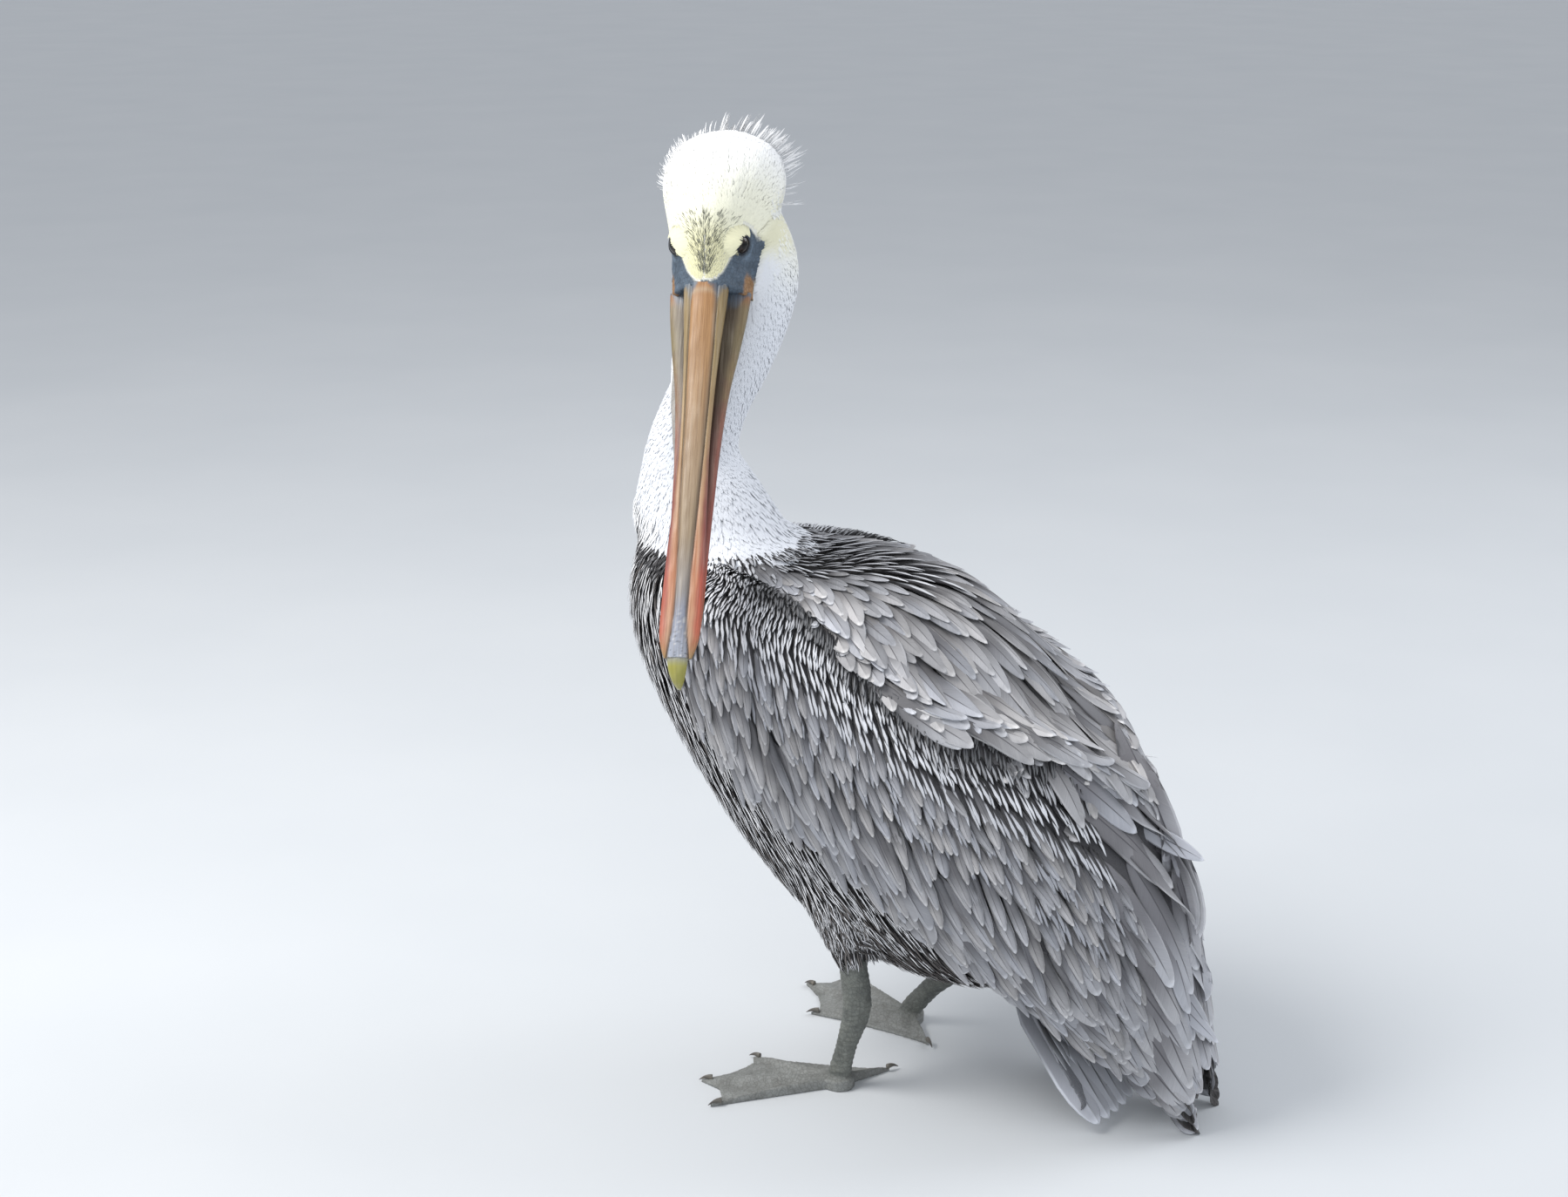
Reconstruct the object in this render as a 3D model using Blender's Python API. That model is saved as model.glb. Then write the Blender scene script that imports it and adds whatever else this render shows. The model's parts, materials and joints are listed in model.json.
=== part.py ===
# Brown pelican, adult in winter plumage, standing at rest with its head turned
# back over its left side and its bill laid down along the breast.
# Life size, metres, +Z up.  The body heads towards -Y, so the bird's left side
# is +X.  It stands on z = 0 on both webbed soles and on the tips of its tail.
import bpy
import bmesh
import math
from mathutils import Matrix, Vector

# ------------------------------------------------------------------ sizes (m)
ORIGIN = Vector((-0.0300, -0.0336, 0.0))    # puts the origin under the middle of the bounding box
GAP = 0.00035                           # clearance left between touching pieces

# trunk: (ventral y, ventral z, dorsal y, dorsal z, half width) from collar to vent
TRUNK = [
    (-0.168, 0.430, -0.100, 0.422, 0.036),
    (-0.191, 0.402, -0.056, 0.398, 0.066),
    (-0.196, 0.360, -0.008, 0.397, 0.091),
    (-0.182, 0.310,  0.048, 0.388, 0.105),
    (-0.152, 0.255,  0.099, 0.357, 0.109),
    (-0.112, 0.196,  0.142, 0.314, 0.106),
    (-0.068, 0.144,  0.172, 0.260, 0.096),
    (-0.020, 0.106,  0.182, 0.204, 0.078),
    ( 0.035, 0.084,  0.174, 0.150, 0.055),
    ( 0.085, 0.080,  0.158, 0.110, 0.034),
]

# folded wing, outer face: upper edge, crown of the fold, lower edge, then the
# thickness at each of the three
WING = [
    ((0.062, -0.112, 0.396), (0.092, -0.132, 0.384), (0.082, -0.136, 0.350), (0.014, 0.014, 0.006)),
    ((0.086, -0.080, 0.393), (0.116, -0.098, 0.362), (0.104, -0.106, 0.304), (0.024, 0.020, 0.007)),
    ((0.100, -0.014, 0.382), (0.125, -0.040, 0.324), (0.110, -0.058, 0.246), (0.026, 0.022, 0.007)),
    ((0.105,  0.042, 0.351), (0.128,  0.024, 0.284), (0.108,  0.010, 0.198), (0.026, 0.022, 0.007)),
    ((0.102,  0.100, 0.322), (0.125,  0.084, 0.246), (0.102,  0.072, 0.152), (0.024, 0.020, 0.006)),
    ((0.058,  0.160, 0.302), (0.113,  0.146, 0.210), (0.088,  0.128, 0.112), (0.018, 0.017, 0.006)),
    ((0.0022, 0.206, 0.258), (0.088,  0.196, 0.168), (0.072,  0.172, 0.080), (0.014, 0.014, 0.005)),
    ((0.0022, 0.236, 0.196), (0.064,  0.228, 0.127), (0.056,  0.202, 0.056), (0.012, 0.011, 0.005)),
    ((0.0022, 0.254, 0.124), (0.045,  0.247, 0.083), (0.043,  0.226, 0.036), (0.009, 0.008, 0.004)),
    ((0.0022, 0.268, 0.044), (0.028,  0.262, 0.034), (0.032,  0.250, 0.018), (0.004, 0.004, 0.003)),
]
WING_CUT_Z = 0.150                      # the wing is parted here into its arm and its tip
WING_CUT_LEAN = 0.55                    # lean of that cut
MIDLINE = 0.0012                        # nothing of a wing comes nearer the mid plane

# neck: centre x, y, z, half width across, half depth fore and aft
NECK = [
    ( 0.000, -0.130, 0.390, 0.062, 0.066),
    ( 0.000, -0.149, 0.432, 0.046, 0.052),
    ( 0.000, -0.156, 0.468, 0.036, 0.036),
    (-0.002, -0.145, 0.505, 0.032, 0.031),
    (-0.010, -0.130, 0.541, 0.033, 0.032),
    (-0.018, -0.119, 0.575, 0.035, 0.033),
    (-0.022, -0.116, 0.606, 0.037, 0.035),
    (-0.018, -0.128, 0.636, 0.037, 0.036),
    (-0.012, -0.139, 0.660, 0.030, 0.031),
]
NECK_PART = 2.35                        # station at which the pale upper neck starts

# head: set by the root of the culmen, the way it faces and the bill's droop
HEAD_AT = Vector((0.045, -0.122, 0.607))
HEAD_TURN = math.radians(104.0)         # from straight ahead, round to the bird's left
BILL_DROOP = math.radians(58.0)
HEAD_TILT = math.radians(2.6)           # lean of the crown to the bird's right
# behind the culmen root: distance back, half width, top, bottom, taper, side shift
HEAD = [
    (0.0000, 0.0300,  0.0000, -0.0540, 0.20, 0.0000),
    (0.0160, 0.0315,  0.0050, -0.0580, 0.24, 0.0000),
    (0.0340, 0.0330,  0.0110, -0.0600, 0.18, 0.0005),
    (0.0540, 0.0380,  0.0180, -0.0600, 0.06, 0.0025),
    (0.0740, 0.0440,  0.0220, -0.0600, 0.00, 0.0045),
    (0.0940, 0.0445,  0.0200, -0.0590, 0.00, 0.0055),
    (0.1100, 0.0365,  0.0110, -0.0500, 0.00, 0.0060),
    (0.1210, 0.0180, -0.0040, -0.0320, 0.00, 0.0060),
]
EYE_BACK, EYE_SIDE, EYE_DOWN, EYE_R = 0.0320, 0.0212, -0.0060, 0.0085

BILL_LENGTH = 0.300
# along the bill: distance forward, upper bill half width, its top and height,
# lower bill half width and height, pouch side shift, half width and height
BEAK = [
    (0.0004, 0.0168,  0.0000, 0.0170, 0.0305, 0.0120, -0.0015, 0.0275, 0.0245),
    (0.0200, 0.0155, -0.0008, 0.0154, 0.0290, 0.0115, -0.0030, 0.0270, 0.0250),
    (0.0490, 0.0133, -0.0020, 0.0135, 0.0250, 0.0105, -0.0050, 0.0250, 0.0225),
    (0.0800, 0.0118, -0.0030, 0.0118, 0.0202, 0.0098, -0.0060, 0.0215, 0.0195),
    (0.1200, 0.0110, -0.0038, 0.0104, 0.0170, 0.0090, -0.0050, 0.0165, 0.0150),
    (0.1600, 0.0122, -0.0042, 0.0092, 0.0155, 0.0082, -0.0025, 0.0125, 0.0105),
    (0.2000, 0.0138, -0.0042, 0.0082, 0.0146, 0.0072,  0.0000, 0.0095, 0.0070),
    (0.2400, 0.0148, -0.0038, 0.0076, 0.0142, 0.0062,  0.0000, 0.0055, 0.0040),
    (0.2620, 0.0146, -0.0035, 0.0074, 0.0128, 0.0055,  0.0000, 0.0000, 0.0000),
    (0.2720, 0.0128, -0.0035, 0.0072, 0.0102, 0.0050,  0.0000, 0.0000, 0.0000),
    (0.2800, 0.0100, -0.0036, 0.0070, 0.0060, 0.0040,  0.0000, 0.0000, 0.0000),
]
POUCH_END = 7                           # last station of the pouch

# legs: foot, heel joint and shin top on each side
LEG_L = [Vector((0.066, -0.002, 0.010)), Vector((0.0645, 0.012, 0.070)), Vector((0.062, 0.004, 0.118)), Vector((0.052, -0.012, 0.165))]
LEG_R = [Vector((-0.060, 0.004, 0.010)), Vector((-0.062, 0.046, 0.062)), Vector((-0.062, 0.034, 0.108)), Vector((-0.052, 0.010, 0.165))]
TARSUS_R = (0.0088, 0.0080, 0.0112, 0.0105)     # half widths up the tarsus to the heel joint
SHIN_R = (0.0150, 0.0225, 0.0330)               # half widths of the feathered shin
FOOT_TOP = 0.0098
FOOT_TURN_L = math.radians(22.0)
FOOT_TURN_R = math.radians(-14.0)
# toes from the inner hind toe round to the outer: angle from the foot's axis
# towards the outer side, length
TOES = [(-146.0, 0.048), (-31.0, 0.080), (0.0, 0.106), (23.0, 0.104)]

# tail fan
TAIL_ROOT = Vector((0.0, 0.114, 0.111))
TAIL_SLOPE = math.radians(50.0)
TAIL_LENGTH = 0.151
TAIL_ROOT_W, TAIL_TIP_W = 0.034, 0.064
TAIL_FEATHERS = 11

# ------------------------------------------------------------------ helpers
for ob in list(bpy.data.objects):
    bpy.data.objects.remove(ob, do_unlink=True)

parts = bpy.data.collections.new("pelican")
cutters = bpy.data.collections.new("cutters")
bpy.context.scene.collection.children.link(parts)
bpy.context.scene.collection.children.link(cutters)


def material(name, rgb, rough, metal=0.0):
    m = bpy.data.materials.new(name)
    m.use_nodes = True
    s = m.node_tree.nodes["Principled BSDF"]
    s.inputs["Base Color"].default_value = (rgb[0], rgb[1], rgb[2], 1.0)
    s.inputs["Roughness"].default_value = rough
    s.inputs["Metallic"].default_value = metal
    return m


def build(name, bm, mat, where):
    bmesh.ops.recalc_face_normals(bm, faces=bm.faces)
    bmesh.ops.translate(bm, verts=bm.verts, vec=ORIGIN)
    me = bpy.data.meshes.new(name)
    bm.to_mesh(me)
    bm.free()
    ob = bpy.data.objects.new(name, me)
    where.objects.link(ob)
    if mat is not None:
        me.materials.append(mat)
    if where is cutters:
        ob.hide_render = True
        ob.display_type = 'WIRE'
    me.shade_smooth()
    return ob


def cut(ob, *tools):
    for t in tools:
        m = ob.modifiers.new("cut_" + t.name, 'BOOLEAN')
        m.operation = 'DIFFERENCE'
        m.solver = 'EXACT'
        m.object = t


def curve(rows, per_span):
    """Catmull-Rom through rows of equal length, per_span steps between rows."""
    out = []
    n = len(rows)
    for i in range(n - 1):
        p0 = rows[max(i - 1, 0)]
        p1, p2 = rows[i], rows[i + 1]
        p3 = rows[min(i + 2, n - 1)]
        for k in range(per_span):
            t = k / per_span
            out.append([0.5 * (2 * b + (c - a) * t + (2 * a - 5 * b + 4 * c - d) * t * t
                               + (3 * b - a - 3 * c + d) * t ** 3)
                        for a, b, c, d in zip(p0, p1, p2, p3)])
    out.append(list(rows[-1]))
    return out


def ring(centre, across, up, a, bu, bd, n, p=2.2, k=0.0):
    """One closed section: a superellipse, wider below by the taper k."""
    pts = []
    for j in range(n):
        th = 2.0 * math.pi * j / n
        c, s = math.cos(th), math.sin(th)
        x = a * (1.0 - k * s) * math.copysign(abs(c) ** (2.0 / p), c)
        b = bu if s >= 0 else bd
        y = b * math.copysign(abs(s) ** (2.0 / p), s)
        pts.append(centre + across * x + up * y)
    return pts


def loft(rings):
    """Skin a list of sections with triangles and close both ends."""
    bm = bmesh.new()
    vs = [[bm.verts.new(p) for p in r] for r in rings]
    n = len(vs[0])
    for r0, r1 in zip(vs[:-1], vs[1:]):
        for j in range(n):
            k = (j + 1) % n
            bm.faces.new((r0[j], r0[k], r1[k]))
            bm.faces.new((r0[j], r1[k], r1[j]))
    for r in (vs[0], vs[-1]):
        bm.faces.new(r)
    return bm


def stretch(rings, g):
    """Move the two end sections outwards along the loft by g."""
    for end, nxt in ((0, 1), (-1, -2)):
        c0 = sum(rings[end], Vector()) / len(rings[end])
        c1 = sum(rings[nxt], Vector()) / len(rings[nxt])
        d = (c0 - c1).normalized() * g
        rings[end] = [p + d for p in rings[end]]
    return rings


# ------------------------------------------------------------------ materials
WHITE = material("white_plumage", (0.82, 0.83, 0.86), 0.85)
YELLOW = material("crown_plumage", (0.90, 0.88, 0.66), 0.85)
DARK = material("breast_plumage", (0.055, 0.050, 0.048), 0.8)
GREY = material("grey_plumage", (0.36, 0.35, 0.37), 0.75)
DUSK = material("wing_tip_plumage", (0.16, 0.155, 0.165), 0.7)
BILL = material("bill_horn", (0.56, 0.34, 0.18), 0.4)
NAIL = material("bill_nail", (0.46, 0.42, 0.10), 0.35)
POUCHM = material("pouch_skin", (0.34, 0.31, 0.29), 0.6)
LEG = material("leg_skin", (0.27, 0.27, 0.23), 0.6)
EYE = material("eye", (0.02, 0.015, 0.012), 0.05)

X = Vector((1, 0, 0))


# ------------------------------------------------------------------ trunk
def trunk_rings(g, n=28, per=2):
    out = []
    for vy, vz, dy, dz, a in curve(TRUNK, per):
        v, d = Vector((0, vy, vz)), Vector((0, dy, dz))
        up = (d - v).normalized()
        half = (d - v).length / 2
        out.append(ring((v + d) / 2, X, up, a + g, half + g, half + g, n, 2.4))
    return stretch(out, g) if g else out


# ------------------------------------------------------------------ neck
def neck_rings(g, first, last, n=20, per=3):
    rows = curve(NECK, per)
    pts = [Vector(r[:3]) for r in rows]
    out = []
    for i, r in enumerate(rows):
        t = (pts[min(i + 1, len(pts) - 1)] - pts[max(i - 1, 0)]).normalized()
        level = min(1.0, i / (2.0 * per))           # the flared base is cut level
        t = Vector((0, 0, 1)).lerp(t, level * level).normalized()
        up = (X.cross(t)).normalized()
        if up.y < 0:
            up = -up
        across = up.cross(t).normalized()
        out.append(ring(pts[i], across, up, r[3] + g, r[4] + g, r[4] + g, n, 2.0))
    i0, i1 = int(round(first * per)), int(round(last * per))
    out = out[i0:i1 + 1]
    return out


# ------------------------------------------------------------------ head frame
FACE = Vector((math.sin(HEAD_TURN), -math.cos(HEAD_TURN), 0.0))
TILT = Matrix.Rotation(HEAD_TILT, 3, FACE)
FWD = TILT @ (FACE * math.cos(BILL_DROOP) + Vector((0, 0, -math.sin(BILL_DROOP))))
CRN = TILT @ (FACE * math.sin(BILL_DROOP) + Vector((0, 0, math.cos(BILL_DROOP))))
LFT = CRN.cross(FWD)


def head_point(forward, side, up):
    return HEAD_AT + FWD * forward + LFT * side + CRN * up


def head_rings(g, n=22, per=2):
    out = []
    for back, a, top, bot, k, side in curve(HEAD, per):
        mid = (top + bot) / 2
        h = (top - bot) / 2
        out.append(ring(head_point(-back, side, mid), LFT, CRN, a + g, h + g, h + g, n, 2.15, k))
    return stretch(out, g) if g else out


def bill_rings(rows, n, per, p, g=0.0):
    """Sections across the bill from rows of forward, side, half width, top, height."""
    out = []
    for fwd, side, a, top, h in curve(rows, per):
        out.append(ring(head_point(fwd, side, top - h / 2), LFT, CRN, a + g, h / 2 + g, h / 2 + g, n, p))
    return stretch(out, g) if g else out


# ------------------------------------------------------------------ wings
def bezier3(u, m, l, t):
    """Curve through u, m and l at t = 0, 1/2, 1."""
    c = m * 2.0 - (u + l) * 0.5
    return u * (1 - t) ** 2 + c * 2 * t * (1 - t) + l * t ** 2


def wing_rings(side, n=9, per=2, grow=0.0):
    rows = curve([list(u) + list(m) + list(l) + list(t) for u, m, l, t in WING], per)
    grid = []
    for r in rows:
        u, m, l = Vector(r[0:3]), Vector(r[3:6]), Vector(r[6:9])
        line = [bezier3(u, m, l, j / (n - 1)) for j in range(n)]
        grid.append([Vector((max(p.x, MIDLINE), p.y, p.z)) for p in line])
    out = []
    last = len(grid) - 1
    for i, line in enumerate(grid):
        th = rows[i][9:12]
        inner = []
        for j in range(n):
            di = grid[min(i + 1, last)][j] - grid[max(i - 1, 0)][j]
            dj = line[min(j + 1, n - 1)] - line[max(j - 1, 0)]
            nrm = dj.cross(di).normalized()
            v = j / (n - 1)
            t = th[0] * (1 - v) * (1 - 2 * v) + 4 * th[1] * v * (1 - v) + th[2] * v * (2 * v - 1)
            p = line[j] - nrm * max(t, 0.0016)
            p.x = max(p.x, MIDLINE)
            inner.append(p)
        section = list(line) + inner[::-1]
        if side < 0:
            section = [Vector((-p.x, p.y, p.z)) for p in section]
        out.append(section)
    return out


# ------------------------------------------------------------------ tail
def tail_mesh(g):
    """A fan of feathers with scalloped ends, thickest at the root."""
    bm = bmesh.new()
    along = Vector((0, math.cos(TAIL_SLOPE), -math.sin(TAIL_SLOPE)))
    up = Vector((0, math.sin(TAIL_SLOPE), math.cos(TAIL_SLOPE)))
    na, nl = TAIL_FEATHERS * 2, 5
    top, bot = [], []
    for i in range(na + 1):
        v = 2.0 * i / na - 1.0
        lobe = abs(math.sin(math.pi * TAIL_FEATHERS * i / na))
        reach = TAIL_LENGTH * (1 - 0.05 * v * v) + 0.0055 * (lobe - 1.0)
        a, b = [], []
        for j in range(nl + 1):
            s = j / nl
            w = TAIL_ROOT_W + (TAIL_TIP_W - TAIL_ROOT_W) * s ** 0.8
            crown = 0.012 * (1 - v * v) * (1 - 0.8 * s)
            thick = 0.0105 * (1 - s) + 0.0030
            c = TAIL_ROOT + along * (reach * s) + X * (v * w) + up * crown
            a.append(bm.verts.new(c + up * (thick / 2 + g)))
            b.append(bm.verts.new(c - up * (thick / 2 + g)))
        top.append(a)
        bot.append(b)
    for i in range(na):
        for j in range(nl):
            for q in (top, bot):
                bm.faces.new((q[i][j], q[i + 1][j], q[i + 1][j + 1]))
                bm.faces.new((q[i][j], q[i + 1][j + 1], q[i][j + 1]))
        bm.faces.new((top[i][0], bot[i][0], bot[i + 1][0], top[i + 1][0]))
        bm.faces.new((top[i][nl], top[i + 1][nl], bot[i + 1][nl], bot[i][nl]))
    for i in (0, na):
        for j in range(nl):
            bm.faces.new((top[i][j], top[i][j + 1], bot[i][j + 1], bot[i][j]))
    return bm


# ------------------------------------------------------------------ feet
def foot_mesh(at, turn, side):
    """Webbed foot with a flat sole: four toes joined by web all the way round
    the front and inner side, raised along each toe."""
    bm = bmesh.new()
    n, nr = 44, 5
    toes = [(math.radians(t), length) for t, length in TOES]
    lo, hi = toes[0][0], toes[-1][0]

    def reach(a):
        if a <= lo or a >= hi:
            d = min(abs(a - lo), abs(a - hi))
            end = toes[0][1] if abs(a - lo) < abs(a - hi) else toes[-1][1]
            return 0.012 + (end - 0.012) * math.exp(-(d / 0.10) ** 2)
        for (a0, l0), (a1, l1) in zip(toes[:-1], toes[1:]):
            if a0 <= a <= a1:
                # web edge: a chord from toe to toe, drawn in a little
                w0, w1 = l0 * 0.93, l1 * 0.93
                d = a1 - a0
                t = (a - a0) / d
                chord = w0 * w1 * math.sin(d) / (w0 * math.sin(t * d) + w1 * math.sin(d - t * d))
                web = chord * (1 - 0.20 * t * (1 - t))
                near = min(t, 1 - t) * d
                claw = (l0 - w0 if t < 0.5 else l1 - w1) * math.exp(-(near / 0.05) ** 2)
                return web + claw
        return 0.012

    def height(a, r, s):
        h = 0.0022
        for ta, tl in toes:
            off = abs(math.sin(a - ta)) * r if abs(a - ta) < 1.2 else 1.0
            hw = 0.0060 - 0.0022 * s
            h = max(h, 0.0022 + (0.0070 - 0.0030 * s) * math.exp(-(off / hw) ** 2) * (1 - s ** 6))
        return max(h, FOOT_TOP * math.exp(-(r / 0.020) ** 4))

    # angles packed towards the toes
    angles = [-math.pi + 2 * math.pi * i / n for i in range(n)]
    for ta, _ in toes:
        k = min(range(len(angles)), key=lambda q: abs(angles[q] - ta))
        angles[k] = ta
    angles.sort()
    ca, sa = math.cos(turn), math.sin(turn)

    def place(a, r, z):
        # foot axis points to -Y, outer side is +X on the left foot
        x = math.sin(a) * r * side
        y = -math.cos(a) * r
        return Vector((at.x + x * ca - y * sa, at.y + x * sa + y * ca, z))

    rows = []
    for a in angles:
        R = reach(a)
        rows.append([bm.verts.new(place(a, R * j / nr, height(a, R * j / nr, j / nr))) for j in range(1, nr + 1)])
    sole = [bm.verts.new(place(a, reach(a), 0.0)) for a in angles]
    mid = bm.verts.new(Vector((at.x, at.y, FOOT_TOP)))
    m = len(rows)
    for i in range(m):
        r0, r1 = rows[i], rows[(i + 1) % m]
        bm.faces.new((mid, r0[0], r1[0]))
        for j in range(nr - 1):
            bm.faces.new((r0[j], r0[j + 1], r1[j + 1], r1[j]))
        bm.faces.new((r0[-1], sole[i], sole[(i + 1) % m], r1[-1]))
    bm.faces.new(sole)
    return bm


def tube_rings(points, radii, first, n=14, flat=1.0):
    """Sections along a limb; the first one is square to the direction first."""
    rows = curve([list(p) + [r] for p, r in zip(points, radii)], 3)
    pts = [Vector(r[:3]) for r in rows]
    rings = []
    t = first
    for i, r in enumerate(rows):
        t = first if i == 0 else (pts[min(i + 1, len(pts) - 1)] - pts[i - 1]).normalized()
        up = X.cross(t).normalized()
        across = up.cross(t).normalized()
        rings.append(ring(pts[i], across, up, r[3] * flat, r[3], r[3], n, 2.0))
    return rings, t


# ------------------------------------------------------------------ build all
trunk = build("trunk", loft(trunk_rings(0.0)), DARK, parts)
trunk_c = build("cut_trunk", loft(trunk_rings(GAP)), None, cutters)

P = 3
split = int(round(NECK_PART * P)) / P
neck_low = build("neck_lower", loft(neck_rings(0.0, 0, split)), WHITE, parts)
rings_up = neck_rings(0.0, split, len(NECK) - 1)
c0 = sum(rings_up[0], Vector()) / len(rings_up[0])
c1 = sum(rings_up[1], Vector()) / len(rings_up[1])
rings_up[0] = [p + (c1 - c0).normalized() * GAP for p in rings_up[0]]
neck_up = build("neck_upper", loft(rings_up), WHITE, parts)
neck_c = build("cut_neck", loft(neck_rings(GAP, 0, len(NECK) - 1)), None, cutters)
cut(neck_low, trunk_c)

head = build("head", loft(head_rings(0.0)), YELLOW, parts)
head_c = build("cut_head", loft(head_rings(GAP)), None, cutters)
cut(neck_up, head_c)

for side, name in ((1, "eye_left"), (-1, "eye_right")):
    c = head_point(-EYE_BACK, side * EYE_SIDE, EYE_DOWN)
    for grow, label, mat, coll in ((0.0, name, EYE, parts), (GAP, "cut_" + name, None, cutters)):
        bm = bmesh.new()
        bmesh.ops.create_uvsphere(bm, u_segments=12, v_segments=8, radius=EYE_R + grow)
        bmesh.ops.translate(bm, verts=bm.verts, vec=c)
        eye = build(label, bm, mat, coll)
    cut(head, eye)

upper_rows, lower_rows, pouch_rows = [], [], []
for fwd, ua, ut, uh, la, lh, ps, pa, ph in BEAK:
    under = ut - uh - GAP
    upper_rows.append((fwd, 0.0, ua, ut, uh))
    lower_rows.append((fwd, 0.0, la, under, lh))
    pouch_rows.append((fwd, ps, pa, under - lh - GAP, ph))
upper = build("bill_upper", loft(bill_rings(upper_rows, 14, 1, 2.6)), BILL, parts)
lower = build("bill_lower", loft(bill_rings(lower_rows, 14, 1, 2.6)), BILL, parts)
pouch = build("throat_pouch", loft(bill_rings(pouch_rows[:POUCH_END + 1], 14, 2, 2.1)), POUCHM, parts)
cut(pouch, neck_c)

# hooked nail at the end of the upper bill
nail_rows = [(0.2804, 0, 0.0098, -0.0036, 0.0070), (0.2900, 0, 0.0078, -0.0050, 0.0085),
             (0.2960, 0, 0.0056, -0.0085, 0.0110), (BILL_LENGTH, 0, 0.0030, -0.0140, 0.0090)]
nail = build("bill_nail", loft(bill_rings(nail_rows, 12, 2, 2.2)), NAIL, parts)
nail_c = build("cut_nail", loft(bill_rings(nail_rows, 12, 2, 2.2, GAP)), None, cutters)
cut(lower, nail_c)

tail = build("tail", tail_mesh(0.0), GREY, parts)
tail_c = build("cut_tail", tail_mesh(GAP), None, cutters)
floor_bm = bmesh.new()
bmesh.ops.create_cube(floor_bm, size=1.0)
bmesh.ops.translate(floor_bm, verts=floor_bm.verts, vec=Vector((0, 0.2, -0.5)))
floor_c = build("cut_floor", floor_bm, None, cutters)
cut(tail, trunk_c, floor_c)

# half spaces that part each wing into its arm and its tip, a gap apart
def half_space(name, above):
    bm = bmesh.new()
    bmesh.ops.create_cube(bm, size=1.0)
    for v in bm.verts:
        v.co.x *= 0.6
        v.co.y *= 1.2
        z = 0.6 if v.co.z > 0 else 0.0
        base = WING_CUT_Z + WING_CUT_LEAN * v.co.y
        v.co.z = base + (z - GAP / 2 if above else z - 0.6 + GAP / 2)
    return build(name, bm, None, cutters)


above_c = half_space("cut_above", True)
below_c = half_space("cut_below", False)

for side, tag in ((1, "left"), (-1, "right")):
    arm = build("wing_" + tag, loft(wing_rings(side)), GREY, parts)
    tip = build("wing_tip_" + tag, loft(wing_rings(side)), DUSK, parts)
    cut(arm, below_c, trunk_c, neck_c)
    cut(tip, above_c, trunk_c, tail_c)

for side, tag, leg, turn in ((1, "left", LEG_L, FOOT_TURN_L), (-1, "right", LEG_R, FOOT_TURN_R)):
    foot, heel, shin, hip = leg
    ankle = Vector((foot.x, foot.y, FOOT_TOP + GAP))
    build("foot_" + tag, foot_mesh(foot, turn, side), LEG, parts)
    mid = ankle.lerp(heel, 0.45)
    top = heel.lerp(shin, 0.86)
    rings, out = tube_rings([ankle, mid, heel, top], TARSUS_R, Vector((0, 0, 1)), 14, 0.86)
    build("tarsus_" + tag, loft(rings), LEG, parts)
    start = top + out * GAP * 1.5
    rings, _ = tube_rings([start, shin.lerp(hip, 0.35), hip], SHIN_R, out, 18)
    thigh = build("thigh_" + tag, loft(rings), DARK, parts)
    cut(thigh, trunk_c)
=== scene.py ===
# Looks of the brown pelican: one skin, feather vanes over it, bill, eyes, claws.
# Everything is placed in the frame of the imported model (metres, +Z up, the bird
# heads towards -Y, its left side is +X).
import json
import math
import bpy
import bmesh
import numpy as np
from mathutils import Matrix, Vector
from mathutils.bvhtree import BVHTree

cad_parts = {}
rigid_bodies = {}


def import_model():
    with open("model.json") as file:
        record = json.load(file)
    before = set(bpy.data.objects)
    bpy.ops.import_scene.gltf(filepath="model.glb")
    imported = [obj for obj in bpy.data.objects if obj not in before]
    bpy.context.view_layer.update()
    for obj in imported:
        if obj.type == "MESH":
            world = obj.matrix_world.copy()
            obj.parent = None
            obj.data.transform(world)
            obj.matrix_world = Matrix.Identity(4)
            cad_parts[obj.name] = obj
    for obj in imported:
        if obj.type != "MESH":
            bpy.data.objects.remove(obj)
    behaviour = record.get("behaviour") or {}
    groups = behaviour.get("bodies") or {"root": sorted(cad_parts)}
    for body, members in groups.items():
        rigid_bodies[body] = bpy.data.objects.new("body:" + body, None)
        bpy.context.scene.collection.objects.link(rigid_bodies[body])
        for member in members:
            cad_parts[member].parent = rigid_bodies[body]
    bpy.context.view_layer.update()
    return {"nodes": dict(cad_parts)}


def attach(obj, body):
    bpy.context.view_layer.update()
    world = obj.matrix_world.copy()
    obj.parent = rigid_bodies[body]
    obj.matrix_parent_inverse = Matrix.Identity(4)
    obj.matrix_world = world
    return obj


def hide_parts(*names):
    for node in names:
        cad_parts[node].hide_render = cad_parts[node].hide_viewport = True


for ob in list(bpy.data.objects):
    bpy.data.objects.remove(ob)
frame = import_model()
nodes = frame["nodes"]

ORIGIN = np.array((-0.0300, -0.0336, 0.0))      # design frame to row frame
RNG = np.random.default_rng(20261)


def arr(*v):
    return np.array(v, float)


def unit(v):
    n = np.linalg.norm(v, axis=-1, keepdims=True)
    return v / np.maximum(n, 1e-12)


def smooth(a, b, x):
    t = np.clip((np.asarray(x, float) - a) / (b - a), 0.0, 1.0)
    return t * t * (3 - 2 * t)


def lerp(a, b, t):
    return a + (b - a) * t


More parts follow.
